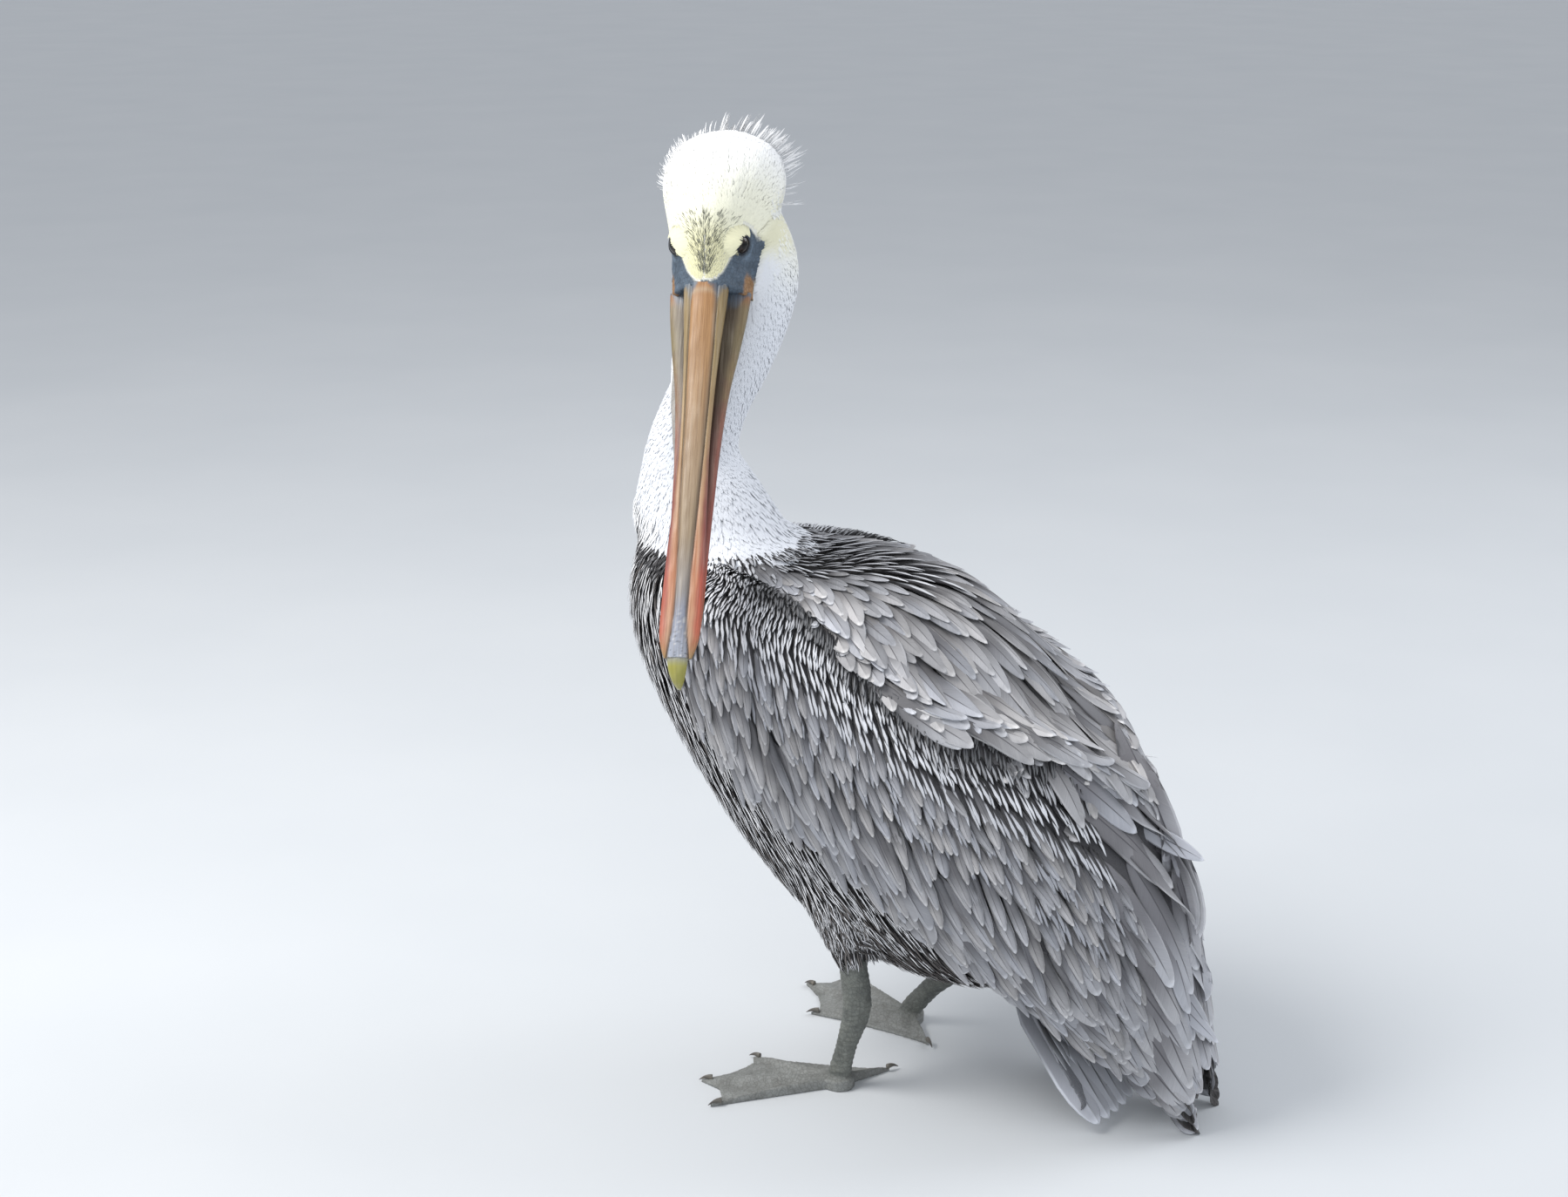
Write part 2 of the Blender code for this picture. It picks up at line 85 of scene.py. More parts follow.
def hash_noise(p, k):
    """Smooth value noise in [-1, 1] at points p (n, 3) with cell size k."""
    q = p / k
    i = np.floor(q).astype(np.int64)
    f = q - i
    f = f * f * (3 - 2 * f)
    out = np.zeros(len(p))
    for dx in (0, 1):
        for dy in (0, 1):
            for dz in (0, 1):
                h = (i[:, 0] + dx) * 374761393 + (i[:, 1] + dy) * 668265263 + (i[:, 2] + dz) * 2147483647
                h = (h ^ (h >> 13)) * 1274126177
                h = h ^ (h >> 16)
                val = (h & 0xFFFF) / 32767.5 - 1.0
                w = (f[:, 0] if dx else 1 - f[:, 0]) * (f[:, 1] if dy else 1 - f[:, 1]) * (f[:, 2] if dz else 1 - f[:, 2])
                out += val * w
    return out


# ---------------------------------------------------------------- body plan
TRUNK = arr(
    (-0.168, 0.430, -0.100, 0.422, 0.036), (-0.191, 0.402, -0.056, 0.398, 0.066),
    (-0.196, 0.360, -0.008, 0.397, 0.091), (-0.182, 0.310, 0.048, 0.388, 0.105),
    (-0.152, 0.255, 0.099, 0.357, 0.109), (-0.112, 0.196, 0.142, 0.314, 0.106),
    (-0.068, 0.144, 0.172, 0.260, 0.096), (-0.020, 0.106, 0.182, 0.204, 0.078),
    (0.035, 0.084, 0.174, 0.150, 0.055), (0.085, 0.080, 0.158, 0.110, 0.034))

WING = arr(
    (0.062, -0.112, 0.396, 0.092, -0.132, 0.384, 0.082, -0.136, 0.350, 0.014),
    (0.086, -0.080, 0.393, 0.116, -0.098, 0.362, 0.104, -0.106, 0.304, 0.024),
    (0.100, -0.014, 0.382, 0.125, -0.040, 0.324, 0.110, -0.058, 0.246, 0.026),
    (0.105, 0.042, 0.351, 0.128, 0.024, 0.284, 0.108, 0.010, 0.198, 0.026),
    (0.102, 0.100, 0.322, 0.125, 0.084, 0.246, 0.102, 0.072, 0.152, 0.024),
    (0.058, 0.160, 0.302, 0.113, 0.146, 0.210, 0.088, 0.128, 0.112, 0.018),
    (0.0022, 0.206, 0.258, 0.088, 0.196, 0.168, 0.072, 0.172, 0.080, 0.014),
    (0.0022, 0.236, 0.196, 0.064, 0.228, 0.127, 0.056, 0.202, 0.056, 0.012),
    (0.0022, 0.254, 0.124, 0.045, 0.247, 0.083, 0.043, 0.226, 0.036, 0.009),
    (0.0022, 0.268, 0.044, 0.028, 0.262, 0.034, 0.032, 0.250, 0.018, 0.004))

NECK = arr(
    (0.000, -0.130, 0.390, 0.062, 0.066), (0.000, -0.149, 0.432, 0.046, 0.052),
    (0.000, -0.156, 0.468, 0.036, 0.036), (-0.002, -0.145, 0.505, 0.032, 0.031),
    (-0.010, -0.130, 0.541, 0.033, 0.032), (-0.018, -0.119, 0.575, 0.035, 0.033),
    (-0.022, -0.116, 0.606, 0.037, 0.035), (-0.018, -0.128, 0.636, 0.037, 0.036),
    (-0.012, -0.139, 0.660, 0.030, 0.031))

HEAD_AT = arr(0.045, -0.122, 0.607)
HEAD_TURN, BILL_DROOP, HEAD_TILT = math.radians(104.0), math.radians(58.0), math.radians(2.6)
HEAD = arr(
    (0.0000, 0.0300, 0.0000, -0.0540, 0.20, 0.0000), (0.0160, 0.0315, 0.0050, -0.0580, 0.24, 0.0000),
    (0.0340, 0.0330, 0.0110, -0.0600, 0.18, 0.0005), (0.0540, 0.0380, 0.0180, -0.0600, 0.06, 0.0025),
    (0.0740, 0.0440, 0.0220, -0.0600, 0.00, 0.0045), (0.0940, 0.0445, 0.0200, -0.0590, 0.00, 0.0055),
    (0.1100, 0.0365, 0.0110, -0.0500, 0.00, 0.0060), (0.1210, 0.0180, -0.0040, -0.0320, 0.00, 0.0060))
EYE_BACK, EYE_SIDE, EYE_DOWN, EYE_R = 0.0320, 0.0212, -0.0060, 0.0085

BEAK = arr(
    (0.0004, 0.0168, 0.0000, 0.0170, 0.0305, 0.0120, -0.0015, 0.0275, 0.0245),
    (0.0200, 0.0155, -0.0008, 0.0154, 0.0290, 0.0115, -0.0030, 0.0270, 0.0250),
    (0.0490, 0.0133, -0.0020, 0.0135, 0.0250, 0.0105, -0.0050, 0.0250, 0.0225),
    (0.0800, 0.0118, -0.0030, 0.0118, 0.0202, 0.0098, -0.0060, 0.0215, 0.0195),
    (0.1200, 0.0110, -0.0038, 0.0104, 0.0170, 0.0090, -0.0050, 0.0165, 0.0150),
    (0.1600, 0.0122, -0.0042, 0.0092, 0.0155, 0.0082, -0.0025, 0.0125, 0.0105),
    (0.2000, 0.0138, -0.0042, 0.0082, 0.0146, 0.0072, 0.0000, 0.0095, 0.0070),
    (0.2400, 0.0148, -0.0038, 0.0076, 0.0142, 0.0062, 0.0000, 0.0055, 0.0040),
    (0.2620, 0.0146, -0.0035, 0.0074, 0.0128, 0.0055, 0.0000, 0.0000, 0.0000),
    (0.2720, 0.0128, -0.0035, 0.0072, 0.0102, 0.0050, 0.0000, 0.0000, 0.0000),
    (0.2800, 0.0100, -0.0036, 0.0070, 0.0060, 0.0040, 0.0000, 0.0000, 0.0000))

LEGS = {
    "left": arr((0.066, -0.002, 0.010), (0.0645, 0.012, 0.070), (0.062, 0.004, 0.118), (0.052, -0.012, 0.165)),
    "right": arr((-0.060, 0.004, 0.010), (-0.062, 0.046, 0.062), (-0.062, 0.034, 0.108), (-0.052, 0.010, 0.165))}
FOOT_TURN = {"left": math.radians(22.0), "right": math.radians(-14.0)}
TOES = ((-146.0, 0.048), (-31.0, 0.080), (0.0, 0.106), (23.0, 0.104))
FOOT_TOP = 0.0098

TAIL_ROOT, TAIL_SLOPE, TAIL_LENGTH = arr(0.0, 0.114, 0.111), math.radians(50.0), 0.151
TAIL_ROOT_W, TAIL_TIP_W = 0.034, 0.064


def cr(table, s):
    """Catmull-Rom through the rows of table at stations s (any array)."""
    s = np.clip(np.asarray(s, float), 0, len(table) - 1)
    i = np.minimum(np.floor(s).astype(int), len(table) - 2)
    t = (s - i)[..., None]
    p0 = table[np.maximum(i - 1, 0)]
    p1, p2 = table[i], table[i + 1]
    p3 = table[np.minimum(i + 2, len(table) - 1)]
    return 0.5 * (2 * p1 + (p2 - p0) * t + (2 * p0 - 5 * p1 + 4 * p2 - p3) * t ** 2 + (3 * p1 - p0 - 3 * p2 + p3) * t ** 3)


# head frame
FACE = arr(math.sin(HEAD_TURN), -math.cos(HEAD_TURN), 0.0)
TILT = np.array(Matrix.Rotation(HEAD_TILT, 3, Vector(FACE)))
FWD = TILT @ (FACE * math.cos(BILL_DROOP) + arr(0, 0, -math.sin(BILL_DROOP)))
CRN = TILT @ (FACE * math.sin(BILL_DROOP) + arr(0, 0, math.cos(BILL_DROOP)))
LFT = np.cross(CRN, FWD)


def head_point(f, s, u):
    f, s, u = np.broadcast_arrays(np.asarray(f, float), s, u)
    return HEAD_AT + f[..., None] * FWD + s[..., None] * LFT + u[..., None] * CRN


SIGHT = arr(math.sin(math.radians(115.0)) * math.cos(math.radians(16.5)), -math.cos(math.radians(115.0)) * math.cos(math.radians(16.5)), math.sin(math.radians(16.5)))


def in_head(p):
    """Design points in the head frame: forward, to the bird's left, towards the crown."""
    q = p - HEAD_AT
    return q @ FWD, q @ LFT, q @ CRN


def wing_at(u, v, side=1):
    """Outer face of the folded wing.  u 0 to 9 from the wrist to the tip, v 0 at
    the upper edge to 1 at the lower; v below 0 rolls over the upper edge."""
    u, v = np.broadcast_arrays(np.asarray(u, float), np.asarray(v, float))
    r = cr(WING, u)
    U, M, L, tu = r[..., 0:3], r[..., 3:6], r[..., 6:9], r[..., 9]
    c = M * 2 - (U + L) / 2
    vv = np.maximum(v, 0.0)[..., None]
    p = U * (1 - vv) ** 2 + c * 2 * vv * (1 - vv) + L * vv ** 2
    # beyond the lower edge the feathers hang on in the same line
    e = 2 * (L - c)
    p = np.where(vv > 1, L + e * (vv - 1), p)
    phi = np.clip(-v / 0.16, 0, 1) * math.pi
    out = unit(arr(1, 0, 0) + 0 * U)
    roll = U - out * (tu / 2)[..., None] * (1 - np.cos(phi))[..., None] + arr(0, 0, 1) * (0.006 * np.sin(phi))[..., None]
    roll[..., 0] = np.maximum(roll[..., 0], 0.0015)
    p = np.where((v < 0)[..., None], roll, p)
    p[..., 0] = np.maximum(p[..., 0], 0.0015)
    if side < 0:
        p = p * arr(-1, 1, 1)
    return p


def wing_frame(u, v, side=1):
    e = 0.02
    a = wing_at(u + e, v, side) - wing_at(u - e, v, side)
    b = wing_at(u, v + e, side) - wing_at(u, v - e, side)
    n = unit(np.cross(b, a)) * side
    return wing_at(u, v, side), n


def trunk_at(s, ang):
    """Trunk section s (0 collar to 9 vent), ang from the keel (-90) round to the back (+90 degrees)."""
    r = cr(TRUNK, s)
    v = np.stack([0 * r[..., 0], r[..., 0], r[..., 1]], -1)
    d = np.stack([0 * r[..., 0], r[..., 2], r[..., 3]], -1)
    up = unit(d - v)
    half = np.linalg.norm(d - v, axis=-1) / 2
    c, q = np.cos(ang), np.sin(ang)
    x = r[..., 4] * np.sign(c) * np.abs(c) ** (2 / 2.4)
    y = half * np.sign(q) * np.abs(q) ** (2 / 2.4)
    return (v + d) / 2 + x[..., None] * arr(1, 0, 0) + y[..., None] * up


def neck_at(s, ang):
    """Neck section s (0 base to 8 nape), ang from the bird's left (0) through the hind neck (90 degrees)."""
    s = np.asarray(s, float)
    r = cr(NECK, s)
    t = unit(cr(NECK, s + 0.3)[..., :3] - cr(NECK, s - 0.3)[..., :3])
    lv = np.clip(s / 2.0, 0, 1)[..., None] ** 2
    t = unit(arr(0, 0, 1) * (1 - lv) + t * lv)
    up = unit(np.cross(arr(1, 0, 0) + 0 * t, t))
    up = np.where(up[..., 1:2] < 0, -up, up)
    ac = unit(np.cross(up, t))
    return r[..., :3] + ac * (r[..., 3] * np.cos(ang))[..., None] + up * (r[..., 4] * np.sin(ang))[..., None]


# ---------------------------------------------------------------- mesh helpers
def new_mesh(name, verts, faces, mat=None, smooth_shade=True):
    """verts in the row frame; faces an (n, 3) or (n, 4) array."""
    verts = np.asarray(verts, np.float32)
    faces = np.asarray(faces, np.int32)
    me = bpy.data.meshes.new(name)
    me.vertices.add(len(verts))
    me.vertices.foreach_set("co", verts.ravel())
    k = faces.shape[1]
    me.loops.add(len(faces) * k)
    me.loops.foreach_set("vertex_index", faces.ravel())
    me.polygons.add(len(faces))
    me.polygons.foreach_set("loop_start", np.arange(0, len(faces) * k, k, dtype=np.int32))
    me.polygons.foreach_set("loop_total", np.full(len(faces), k, np.int32))
    me.polygons.foreach_set("use_smooth", np.full(len(faces), smooth_shade))
    me.update(calc_edges=True)
    ob = bpy.data.objects.new(name, me)
    bpy.context.scene.collection.objects.link(ob)
    if mat is not None:
        me.materials.append(mat)
    return ob


def grab(ob):
    """Vertices (n, 3) and triangles (m, 3) of an object as the viewport has it."""
    dg = bpy.context.evaluated_depsgraph_get()
    ev = ob.evaluated_get(dg)
    me = ev.to_mesh()
    me.calc_loop_triangles()
    v = np.empty(len(me.vertices) * 3)
    me.vertices.foreach_get("co", v)
    t = np.empty(len(me.loop_triangles) * 3, np.int32)
    me.loop_triangles.foreach_get("vertices", t)
    ev.to_mesh_clear()
    return v.reshape(-1, 3), t.reshape(-1, 3)


def joined(names):
    vs, ts, off = [], [], 0
    for n in names:
        v, t = grab(nodes[n])
        vs.append(v)
        ts.append(t + off)
        off += len(v)
    return np.vstack(vs), np.vstack(ts)


def remeshed(name, v, t, voxel, passes=0):
    ob = new_mesh(name, v, t)
    m = ob.modifiers.new("r", 'REMESH')
    m.mode = 'VOXEL'
    m.voxel_size = voxel
    if passes:
        s = ob.modifiers.new("s", 'SMOOTH')
        s.factor = 0.5
        s.iterations = passes
    v, t = grab(ob)
    bpy.data.objects.remove(ob, do_unlink=True)
    return v, t


def vertex_normals(v, t):
    f = np.cross(v[t[:, 1]] - v[t[:, 0]], v[t[:, 2]] - v[t[:, 0]])
    n = np.zeros_like(v)
    for k in range(3):
        np.add.at(n, t[:, k], f)
    return unit(n)


class Surface:
    """Nearest-point queries on a triangle mesh with smoothed normals."""

    def __init__(self, v, t, rounds=6):
        self.v, self.t = v, t
        self.tree = BVHTree.FromPolygons(v.tolist(), t.tolist(), all_triangles=True)
        n = vertex_normals(v, t)
        e = np.vstack([t[:, [0, 1]], t[:, [1, 2]], t[:, [2, 0]]])
        for _ in range(rounds):
            m = n.copy()
            np.add.at(m, e[:, 0], n[e[:, 1]])
            np.add.at(m, e[:, 1], n[e[:, 0]])
            n = unit(m)
        self.n = n

    def snap(self, p):
        out, nn = np.empty_like(p), np.empty_like(p)
        for i, q in enumerate(p):
            loc, _, idx, _ = self.tree.find_nearest(q)
            out[i] = loc
            tri = self.t[idx]
            w = 1.0 / (np.linalg.norm(self.v[tri] - loc, axis=1) + 1e-6)
            nn[i] = w @ self.n[tri]
        return out, unit(nn)

    def depth(self, p, n, far=0.05):
        """Thickness under each point, straight in along its normal."""
        d = np.full(len(p), far)
        for i in range(len(p)):
            hit = self.tree.ray_cast(Vector(p[i] - n[i] * 2e-4), Vector(-n[i]), far)
            if hit[0] is not None:
                d[i] = hit[3]
        return d


# ---------------------------------------------------------------- materials
class Tree:
    def __init__(self, name):
        self.m = bpy.data.materials.new(name)
        self.m.use_nodes = True
        self.nt = self.m.node_tree
        self.bsdf = self.nt.nodes["Principled BSDF"]

    def node(self, kind, **props):
        n = self.nt.nodes.new(kind)
        for k, v in props.items():
            setattr(n, k, v)
        return n

    def link(self, a, b):
        self.nt.links.new(a, b)

    def val(self, sock, x):
        if hasattr(x, "is_linked") or hasattr(x, "links"):
            self.link(x, sock)
        else:
            sock.default_value = x

    def attr(self, name, color=False):
        n = self.node("ShaderNodeAttribute", attribute_name=name)
        return n.outputs["Color" if color else "Fac"]

    def math(self, op, a, b=0.0, c=0.0):
        n = self.node("ShaderNodeMath", operation=op)
        for s, x in zip(n.inputs, (a, b, c)):
            self.val(s, x)
        return n.outputs[0]

    def step(self, x, lo, hi):
        n = self.node("ShaderNodeMapRange", interpolation_type='SMOOTHSTEP')
        self.val(n.inputs["Value"], x)
        n.inputs["From Min"].default_value = lo
        n.inputs["From Max"].default_value = hi
        n.inputs["To Min"].default_value = 0.0
        n.inputs["To Max"].default_value = 1.0
        return n.outputs["Result"]

    def mix(self, fac, a, b, mode='MIX'):
        n = self.node("ShaderNodeMix", data_type='RGBA', blend_type=mode)
        self.val(n.inputs[0], fac)
        for s, x in ((n.inputs[6], a), (n.inputs[7], b)):
            if isinstance(x, (tuple, list, np.ndarray)):
                s.default_value = (*[float(q) for q in x[:3]], 1.0)
            else:
                self.link(x, s)
        return n.outputs[2]

    def noise(self, vec, scale, detail=2.0, rough=0.5, dist=0.0):
        n = self.node("ShaderNodeTexNoise")
        if vec is not None:
            self.link(vec, n.inputs["Vector"])
        n.inputs["Scale"].default_value = scale
        n.inputs["Detail"].default_value = detail
        n.inputs["Roughness"].default_value = rough
        n.inputs["Distortion"].default_value = dist
        return n.outputs["Fac"]

    def combine(self, x, y, z):
        n = self.node("ShaderNodeCombineXYZ")
        for s, q in zip(n.inputs, (x, y, z)):
            self.val(s, q)
        return n.outputs[0]

    def coord(self):
        return self.node("ShaderNodeTexCoord").outputs["Object"]

    def bump(self, height, strength, distance):
        n = self.node("ShaderNodeBump")
        n.inputs["Strength"].default_value = strength
        n.inputs["Distance"].default_value = distance
        self.link(height, n.inputs["Height"])
        self.link(n.outputs["Normal"], self.bsdf.inputs["Normal"])

    def out(self, color, rough, **consts):
        self.link(color, self.bsdf.inputs["Base Color"])
        self.val(self.bsdf.inputs["Roughness"], rough)
        for k, v in consts.items():
            self.bsdf.inputs[k.replace("_", " ")].default_value = v
        return self.m


def plume(name, kind):
    """Feather vane: barbs run out and forward from the shaft."""
    t = Tree(name)
    fa, ft, barb, rnd = t.attr("fa"), t.attr("ft"), t.attr("barb"), t.attr("rnd")
    tone, alt = t.attr("tone", True), t.attr("alt", True)
    side = t.math('MULTIPLY', t.math('SIGN', ft), 7.3)
    vec = t.combine(barb, t.math('ADD', t.math('MULTIPLY', rnd, 91.0), side), t.math('MULTIPLY', ft, 0.35))
    fine = t.noise(vec, {"white": 2.6, "streak": 2.4, "shaft": 2.4, "grey": 1.9}[kind], 3.0, 0.65)
    broad = t.noise(vec, 0.45, 2.0, 0.5)
    off = t.math('ABSOLUTE', ft)
    if kind == "white":
        # painted shade: the vane darkens a little towards its root, where the plumes over it lie
        col = t.mix(t.step(fa, 0.60, 0.10), tone, alt)
        col = t.mix(t.math('MULTIPLY', t.step(fine, 0.45, 0.80), 0.06), col, (0.66, 0.68, 0.73))
    elif kind == "streak":
        # silver lance on black: broad towards the tip
        half = t.math('ADD', 0.20, t.math('MULTIPLY', t.step(fa, 0.40, 0.90), 0.44))
        half = t.math('ADD', half, t.math('MULTIPLY', t.math('SUBTRACT', fine, 0.5), 0.22))
        inside = t.step(t.math('SUBTRACT', half, off), -0.10, 0.12)
        inside = t.math('MULTIPLY', inside, t.step(fa, 0.22, 0.46))
        col = t.mix(inside, alt, tone)
        shaft = t.math('MULTIPLY', t.step(off, 0.10, 0.02), 0.35)
        col = t.mix(shaft, col, (0.10, 0.10, 0.11))
        col = t.mix(t.math('MULTIPLY', t.step(fine, 0.55, 0.80), 0.25), col, alt)
    elif kind == "shaft":
        # thin white shaft streak on dark brown
        half = t.math('ADD', 0.16, t.math('MULTIPLY', t.step(fa, 0.40, 0.95), 0.26))
        half = t.math('ADD', half, t.math('MULTIPLY', t.math('SUBTRACT', fine, 0.5), 0.10))
        inside = t.step(t.math('SUBTRACT', half, off), -0.06, 0.08)
        inside = t.math('MULTIPLY', inside, t.step(fa, 0.30, 0.50))
        col = t.mix(inside, alt, tone)
        col = t.mix(t.math('MULTIPLY', t.step(broad, 0.55, 0.75), 0.25), col, (0.16, 0.14, 0.13))
    else:
        # grey vane: dark shaft, pale rim, barbs faintly lighter and darker; the dark base is partly the vane's own
        # colour and partly painted shade
        col = t.mix(t.math('MULTIPLY', t.step(fine, 0.30, 0.75), 0.36), tone, t.mix(0.5, tone, alt))
        col = t.mix(t.math('MULTIPLY', t.step(broad, 0.50, 0.72), 0.25), col, t.mix(0.55, tone, (0.66, 0.64, 0.63)))
        # painted shade: the hind half of the vane is darker, as if lit from its leading edge, and what lies under the
        # next row is darker still, a painted shadow of that row over the vane's own darker base
        col = t.mix(t.math('MULTIPLY', t.step(ft, 0.06, -0.10), 0.34), col, t.mix(0.62, tone, alt))
        col = t.mix(t.math('MULTIPLY', t.step(fa, 0.88, 0.48), 0.72), col, alt)
        rim = t.math('MAXIMUM', t.math('MULTIPLY', t.step(off, 0.80, 0.98), t.step(fa, 0.45, 0.70)), t.step(fa, 0.93, 0.995))
        col = t.mix(t.math('MULTIPLY', rim, 0.70), col, t.mix(1.0, tone, (1.62, 1.62, 1.60), 'MULTIPLY'))
        shaft = t.math('MULTIPLY', t.step(off, 0.075, 0.020), t.step(fa, 0.97, 0.80))
        col = t.mix(t.math('MULTIPLY', shaft, 0.80), col, (0.065, 0.062, 0.070))
    rough = t.math('ADD', 0.52, t.math('MULTIPLY', fine, 0.22))
    t.bump(fine, 0.10 if kind == "white" else 0.35, 0.0003)
    return t.out(col, rough, Sheen_Weight=0.15, Sheen_Roughness=0.5, Specular_IOR_Level=0.25)


def skin_material(name):
    """Skin with the coat's markings; bare parts are wrinkled and a little moist."""
    t = Tree(name)
    P = t.coord()
    tone = t.attr("tone", True)
    bare = t.attr("bare")
    n1 = t.noise(P, 220.0, 4.0, 0.6)
    n2 = t.noise(P, 900.0, 3.0, 0.6)
    v = t.node("ShaderNodeTexVoronoi", feature='DISTANCE_TO_EDGE')
    t.link(P, v.inputs["Vector"])
    v.inputs["Scale"].default_value = 330.0
    cells = t.step(v.outputs["Distance"], 0.0, 0.12)
    mott = t.math('ADD', 0.06, t.math('MULTIPLY', bare, 0.42))
    col = t.mix(t.math('MULTIPLY', t.step(n1, 0.35, 0.70), mott), tone, t.mix(1.0, tone, (0.62, 0.60, 0.58), 'MULTIPLY'))
    dark = t.math('MULTIPLY', t.math('SUBTRACT', 1.0, cells), t.math('MULTIPLY', bare, 0.38))
    col = t.mix(dark, col, t.mix(1.0, tone, (0.35, 0.34, 0.33), 'MULTIPLY'))
    h = t.math('ADD', t.math('MULTIPLY', cells, 0.6), t.math('ADD', t.math('MULTIPLY', n1, 0.6), t.math('MULTIPLY', n2, 0.25)))
    t.bump(h, 0.55, 0.0006)
    rough = t.math('ADD', 0.42, t.math('MULTIPLY', n1, 0.30))
    return t.out(col, rough, Specular_IOR_Level=0.35)


def horn_material(name, streak=1.0, rough0=0.30):
    """Bill horn: long fine grain, small scratches and flecks, satin gloss."""
    t = Tree(name)
    tone = t.attr("tone", True)
    lx, ly, lz = t.attr("bx"), t.attr("bf"), t.attr("bz")
    vec = t.combine(t.math('MULTIPLY', lx, 900.0), t.math('MULTIPLY', ly, 26.0), t.math('MULTIPLY', lz, 900.0))
    grain = t.noise(vec, 1.0, 4.0, 0.62)
    wide = t.noise(t.combine(t.math('MULTIPLY', lx, 260.0), t.math('MULTIPLY', ly, 16.0), t.math('MULTIPLY', lz, 260.0)), 1.0, 3.0, 0.6)
    P = t.coord()
    fleck = t.noise(P, 520.0, 2.0, 0.6)
    col = t.mix(t.math('MULTIPLY', t.step(grain, 0.36, 0.66), 0.60 * streak), tone, t.mix(1.0, tone, (0.56, 0.50, 0.44), 'MULTIPLY'))
    col = t.mix(t.math('MULTIPLY', t.step(wide, 0.50, 0.72), 0.36 * streak), col, t.mix(0.5, tone, (0.74, 0.62, 0.48)))
    col = t.mix(t.math('MULTIPLY', t.step(fleck, 0.70, 0.78), 0.40), col, (0.12, 0.08, 0.055))
    t.bump(t.math('ADD', grain, t.math('MULTIPLY', wide, 0.8)), 0.45, 0.0005)
    rough = t.math('ADD', rough0, t.math('MULTIPLY', grain, 0.22))
    return t.out(col, rough, Specular_IOR_Level=0.45, Coat_Weight=0.10, Coat_Roughness=0.30)


def eye_material(name):
    t = Tree(name)
    r, phi = t.attr("er"), t.attr("ep")
    spoke = t.noise(t.combine(t.math('MULTIPLY', phi, 9.0), t.math('MULTIPLY', r, 2.0), 0.0), 1.0, 3.0, 0.6)
    iris = t.mix(t.step(spoke, 0.3, 0.7), (0.012, 0.009, 0.008), (0.034, 0.022, 0.016))
    col = t.mix(t.step(r, 0.30, 0.36), (0.002, 0.002, 0.002), iris)
    col = t.mix(t.step(r, 0.62, 0.72), col, (0.014, 0.012, 0.012))
    rough = t.math('ADD', 0.03, t.math('MULTIPLY', spoke, 0.04))
    return t.out(col, rough, Specular_IOR_Level=0.30, Coat_Weight=0.35, Coat_Roughness=0.02, IOR=1.38)


MAT = {k: plume("plume_" + k, k) for k in ("white", "streak", "shaft", "grey")}
MAT["skin"] = skin_material("skin")
MAT["horn"] = horn_material("horn")
MAT["nail"] = horn_material("nail", 0.5, 0.26)
MAT["claw"] = horn_material("claw", 0.6, 0.32)
MAT["eye"] = eye_material("eye")


# ---------------------------------------------------------------- skin
FLESH = ["trunk", "neck_lower", "neck_upper", "head", "thigh_left", "thigh_right",
         "wing_left", "wing_right", "wing_tip_left", "wing_tip_right", "tail"]
LIMBS = ["tarsus_left", "tarsus_right", "foot_left", "foot_right"]

fv, ft = joined(FLESH)
fv, ft = remeshed("form", fv, ft, 0.003, 3)
form = Surface(fv - ORIGIN, ft)                 # outer form of coat and flesh, design frame
tv, tt = joined(["trunk", "neck_lower", "neck_upper", "head", "thigh_left", "thigh_right"])
tv, tt = remeshed("inner", tv, tt, 0.003, 3)
core = Surface(tv - ORIGIN, tt)                 # the same without wings and tail


def face_border(u):
    """Hind and lower edge of the naked face: how far forward it lies at each height."""
    return np.interp(u, [-0.0360, -0.0330, -0.0295, -0.0272, -0.0262, -0.0250, -0.0230, -0.0200, -0.0100, -0.0050, 0.01],
                     [0.012, 0.0020, -0.0030, -0.0100, -0.0230, -0.0345, -0.0385, -0.0392, -0.0410, -0.0427, -0.0430])


def bare_face(p):
    """1 on the naked skin round the eyes, down to the bill; 0 on feathers."""
    f, s, u = in_head(p)
    a = np.abs(s)
    # wedge of forehead feathers narrowing to a point at the culmen
    wedge = np.interp(-f, [0.0, 0.003, 0.008, 0.020, 0.034], [0.0042, 0.0088, 0.0132, 0.0187, 0.0245])
    edge = smooth(wedge - 0.0010, wedge + 0.0010, a)
    edge = np.where((u < -0.016) | (f > -0.0004), 1.0, edge)
    # rounded hind border behind the eye and above the gape
    back = face_border(u)
    ahead = smooth(back - 0.0010, back + 0.0010, f)
    low = smooth(-0.0380, -0.0350, u)
    return edge * ahead * low * (u < 0.012)


def coat_depth(p):
    """How far the skin lies under the coat's outline."""
    f, s, u = in_head(p)
    near_head = (f > -0.135) & (f < 0.02) & (np.abs(s) < 0.055) & (u > -0.062) & (u < 0.035)
    d = np.full(len(p), 0.0048)
    neckness = smooth(0.42, 0.50, p[:, 2])
    d = lerp(d, 0.0014, neckness)
    d = np.where(near_head, lerp(0.0012, 0.0002, bare_face(p)), d)
    return d


def inward(v, t, surf, depth):
    n = vertex_normals(v, t)
    thick = surf.depth(v, n)
    return v - n * np.minimum(depth, thick * 0.30)[:, None]


body_v = inward(fv - ORIGIN, ft, form, coat_depth(fv - ORIGIN) + 0.0008)
hv, ht = joined(["head"])
hv, ht = remeshed("headform", hv, ht, 0.0011, 2)
hd = hv - ORIGIN
hn = vertex_normals(hd, ht)
hf, hs, hu = in_head(hd)
bare = bare_face(hd)
move = -coat_depth(hd) + 0.0006 * (1 - bare)
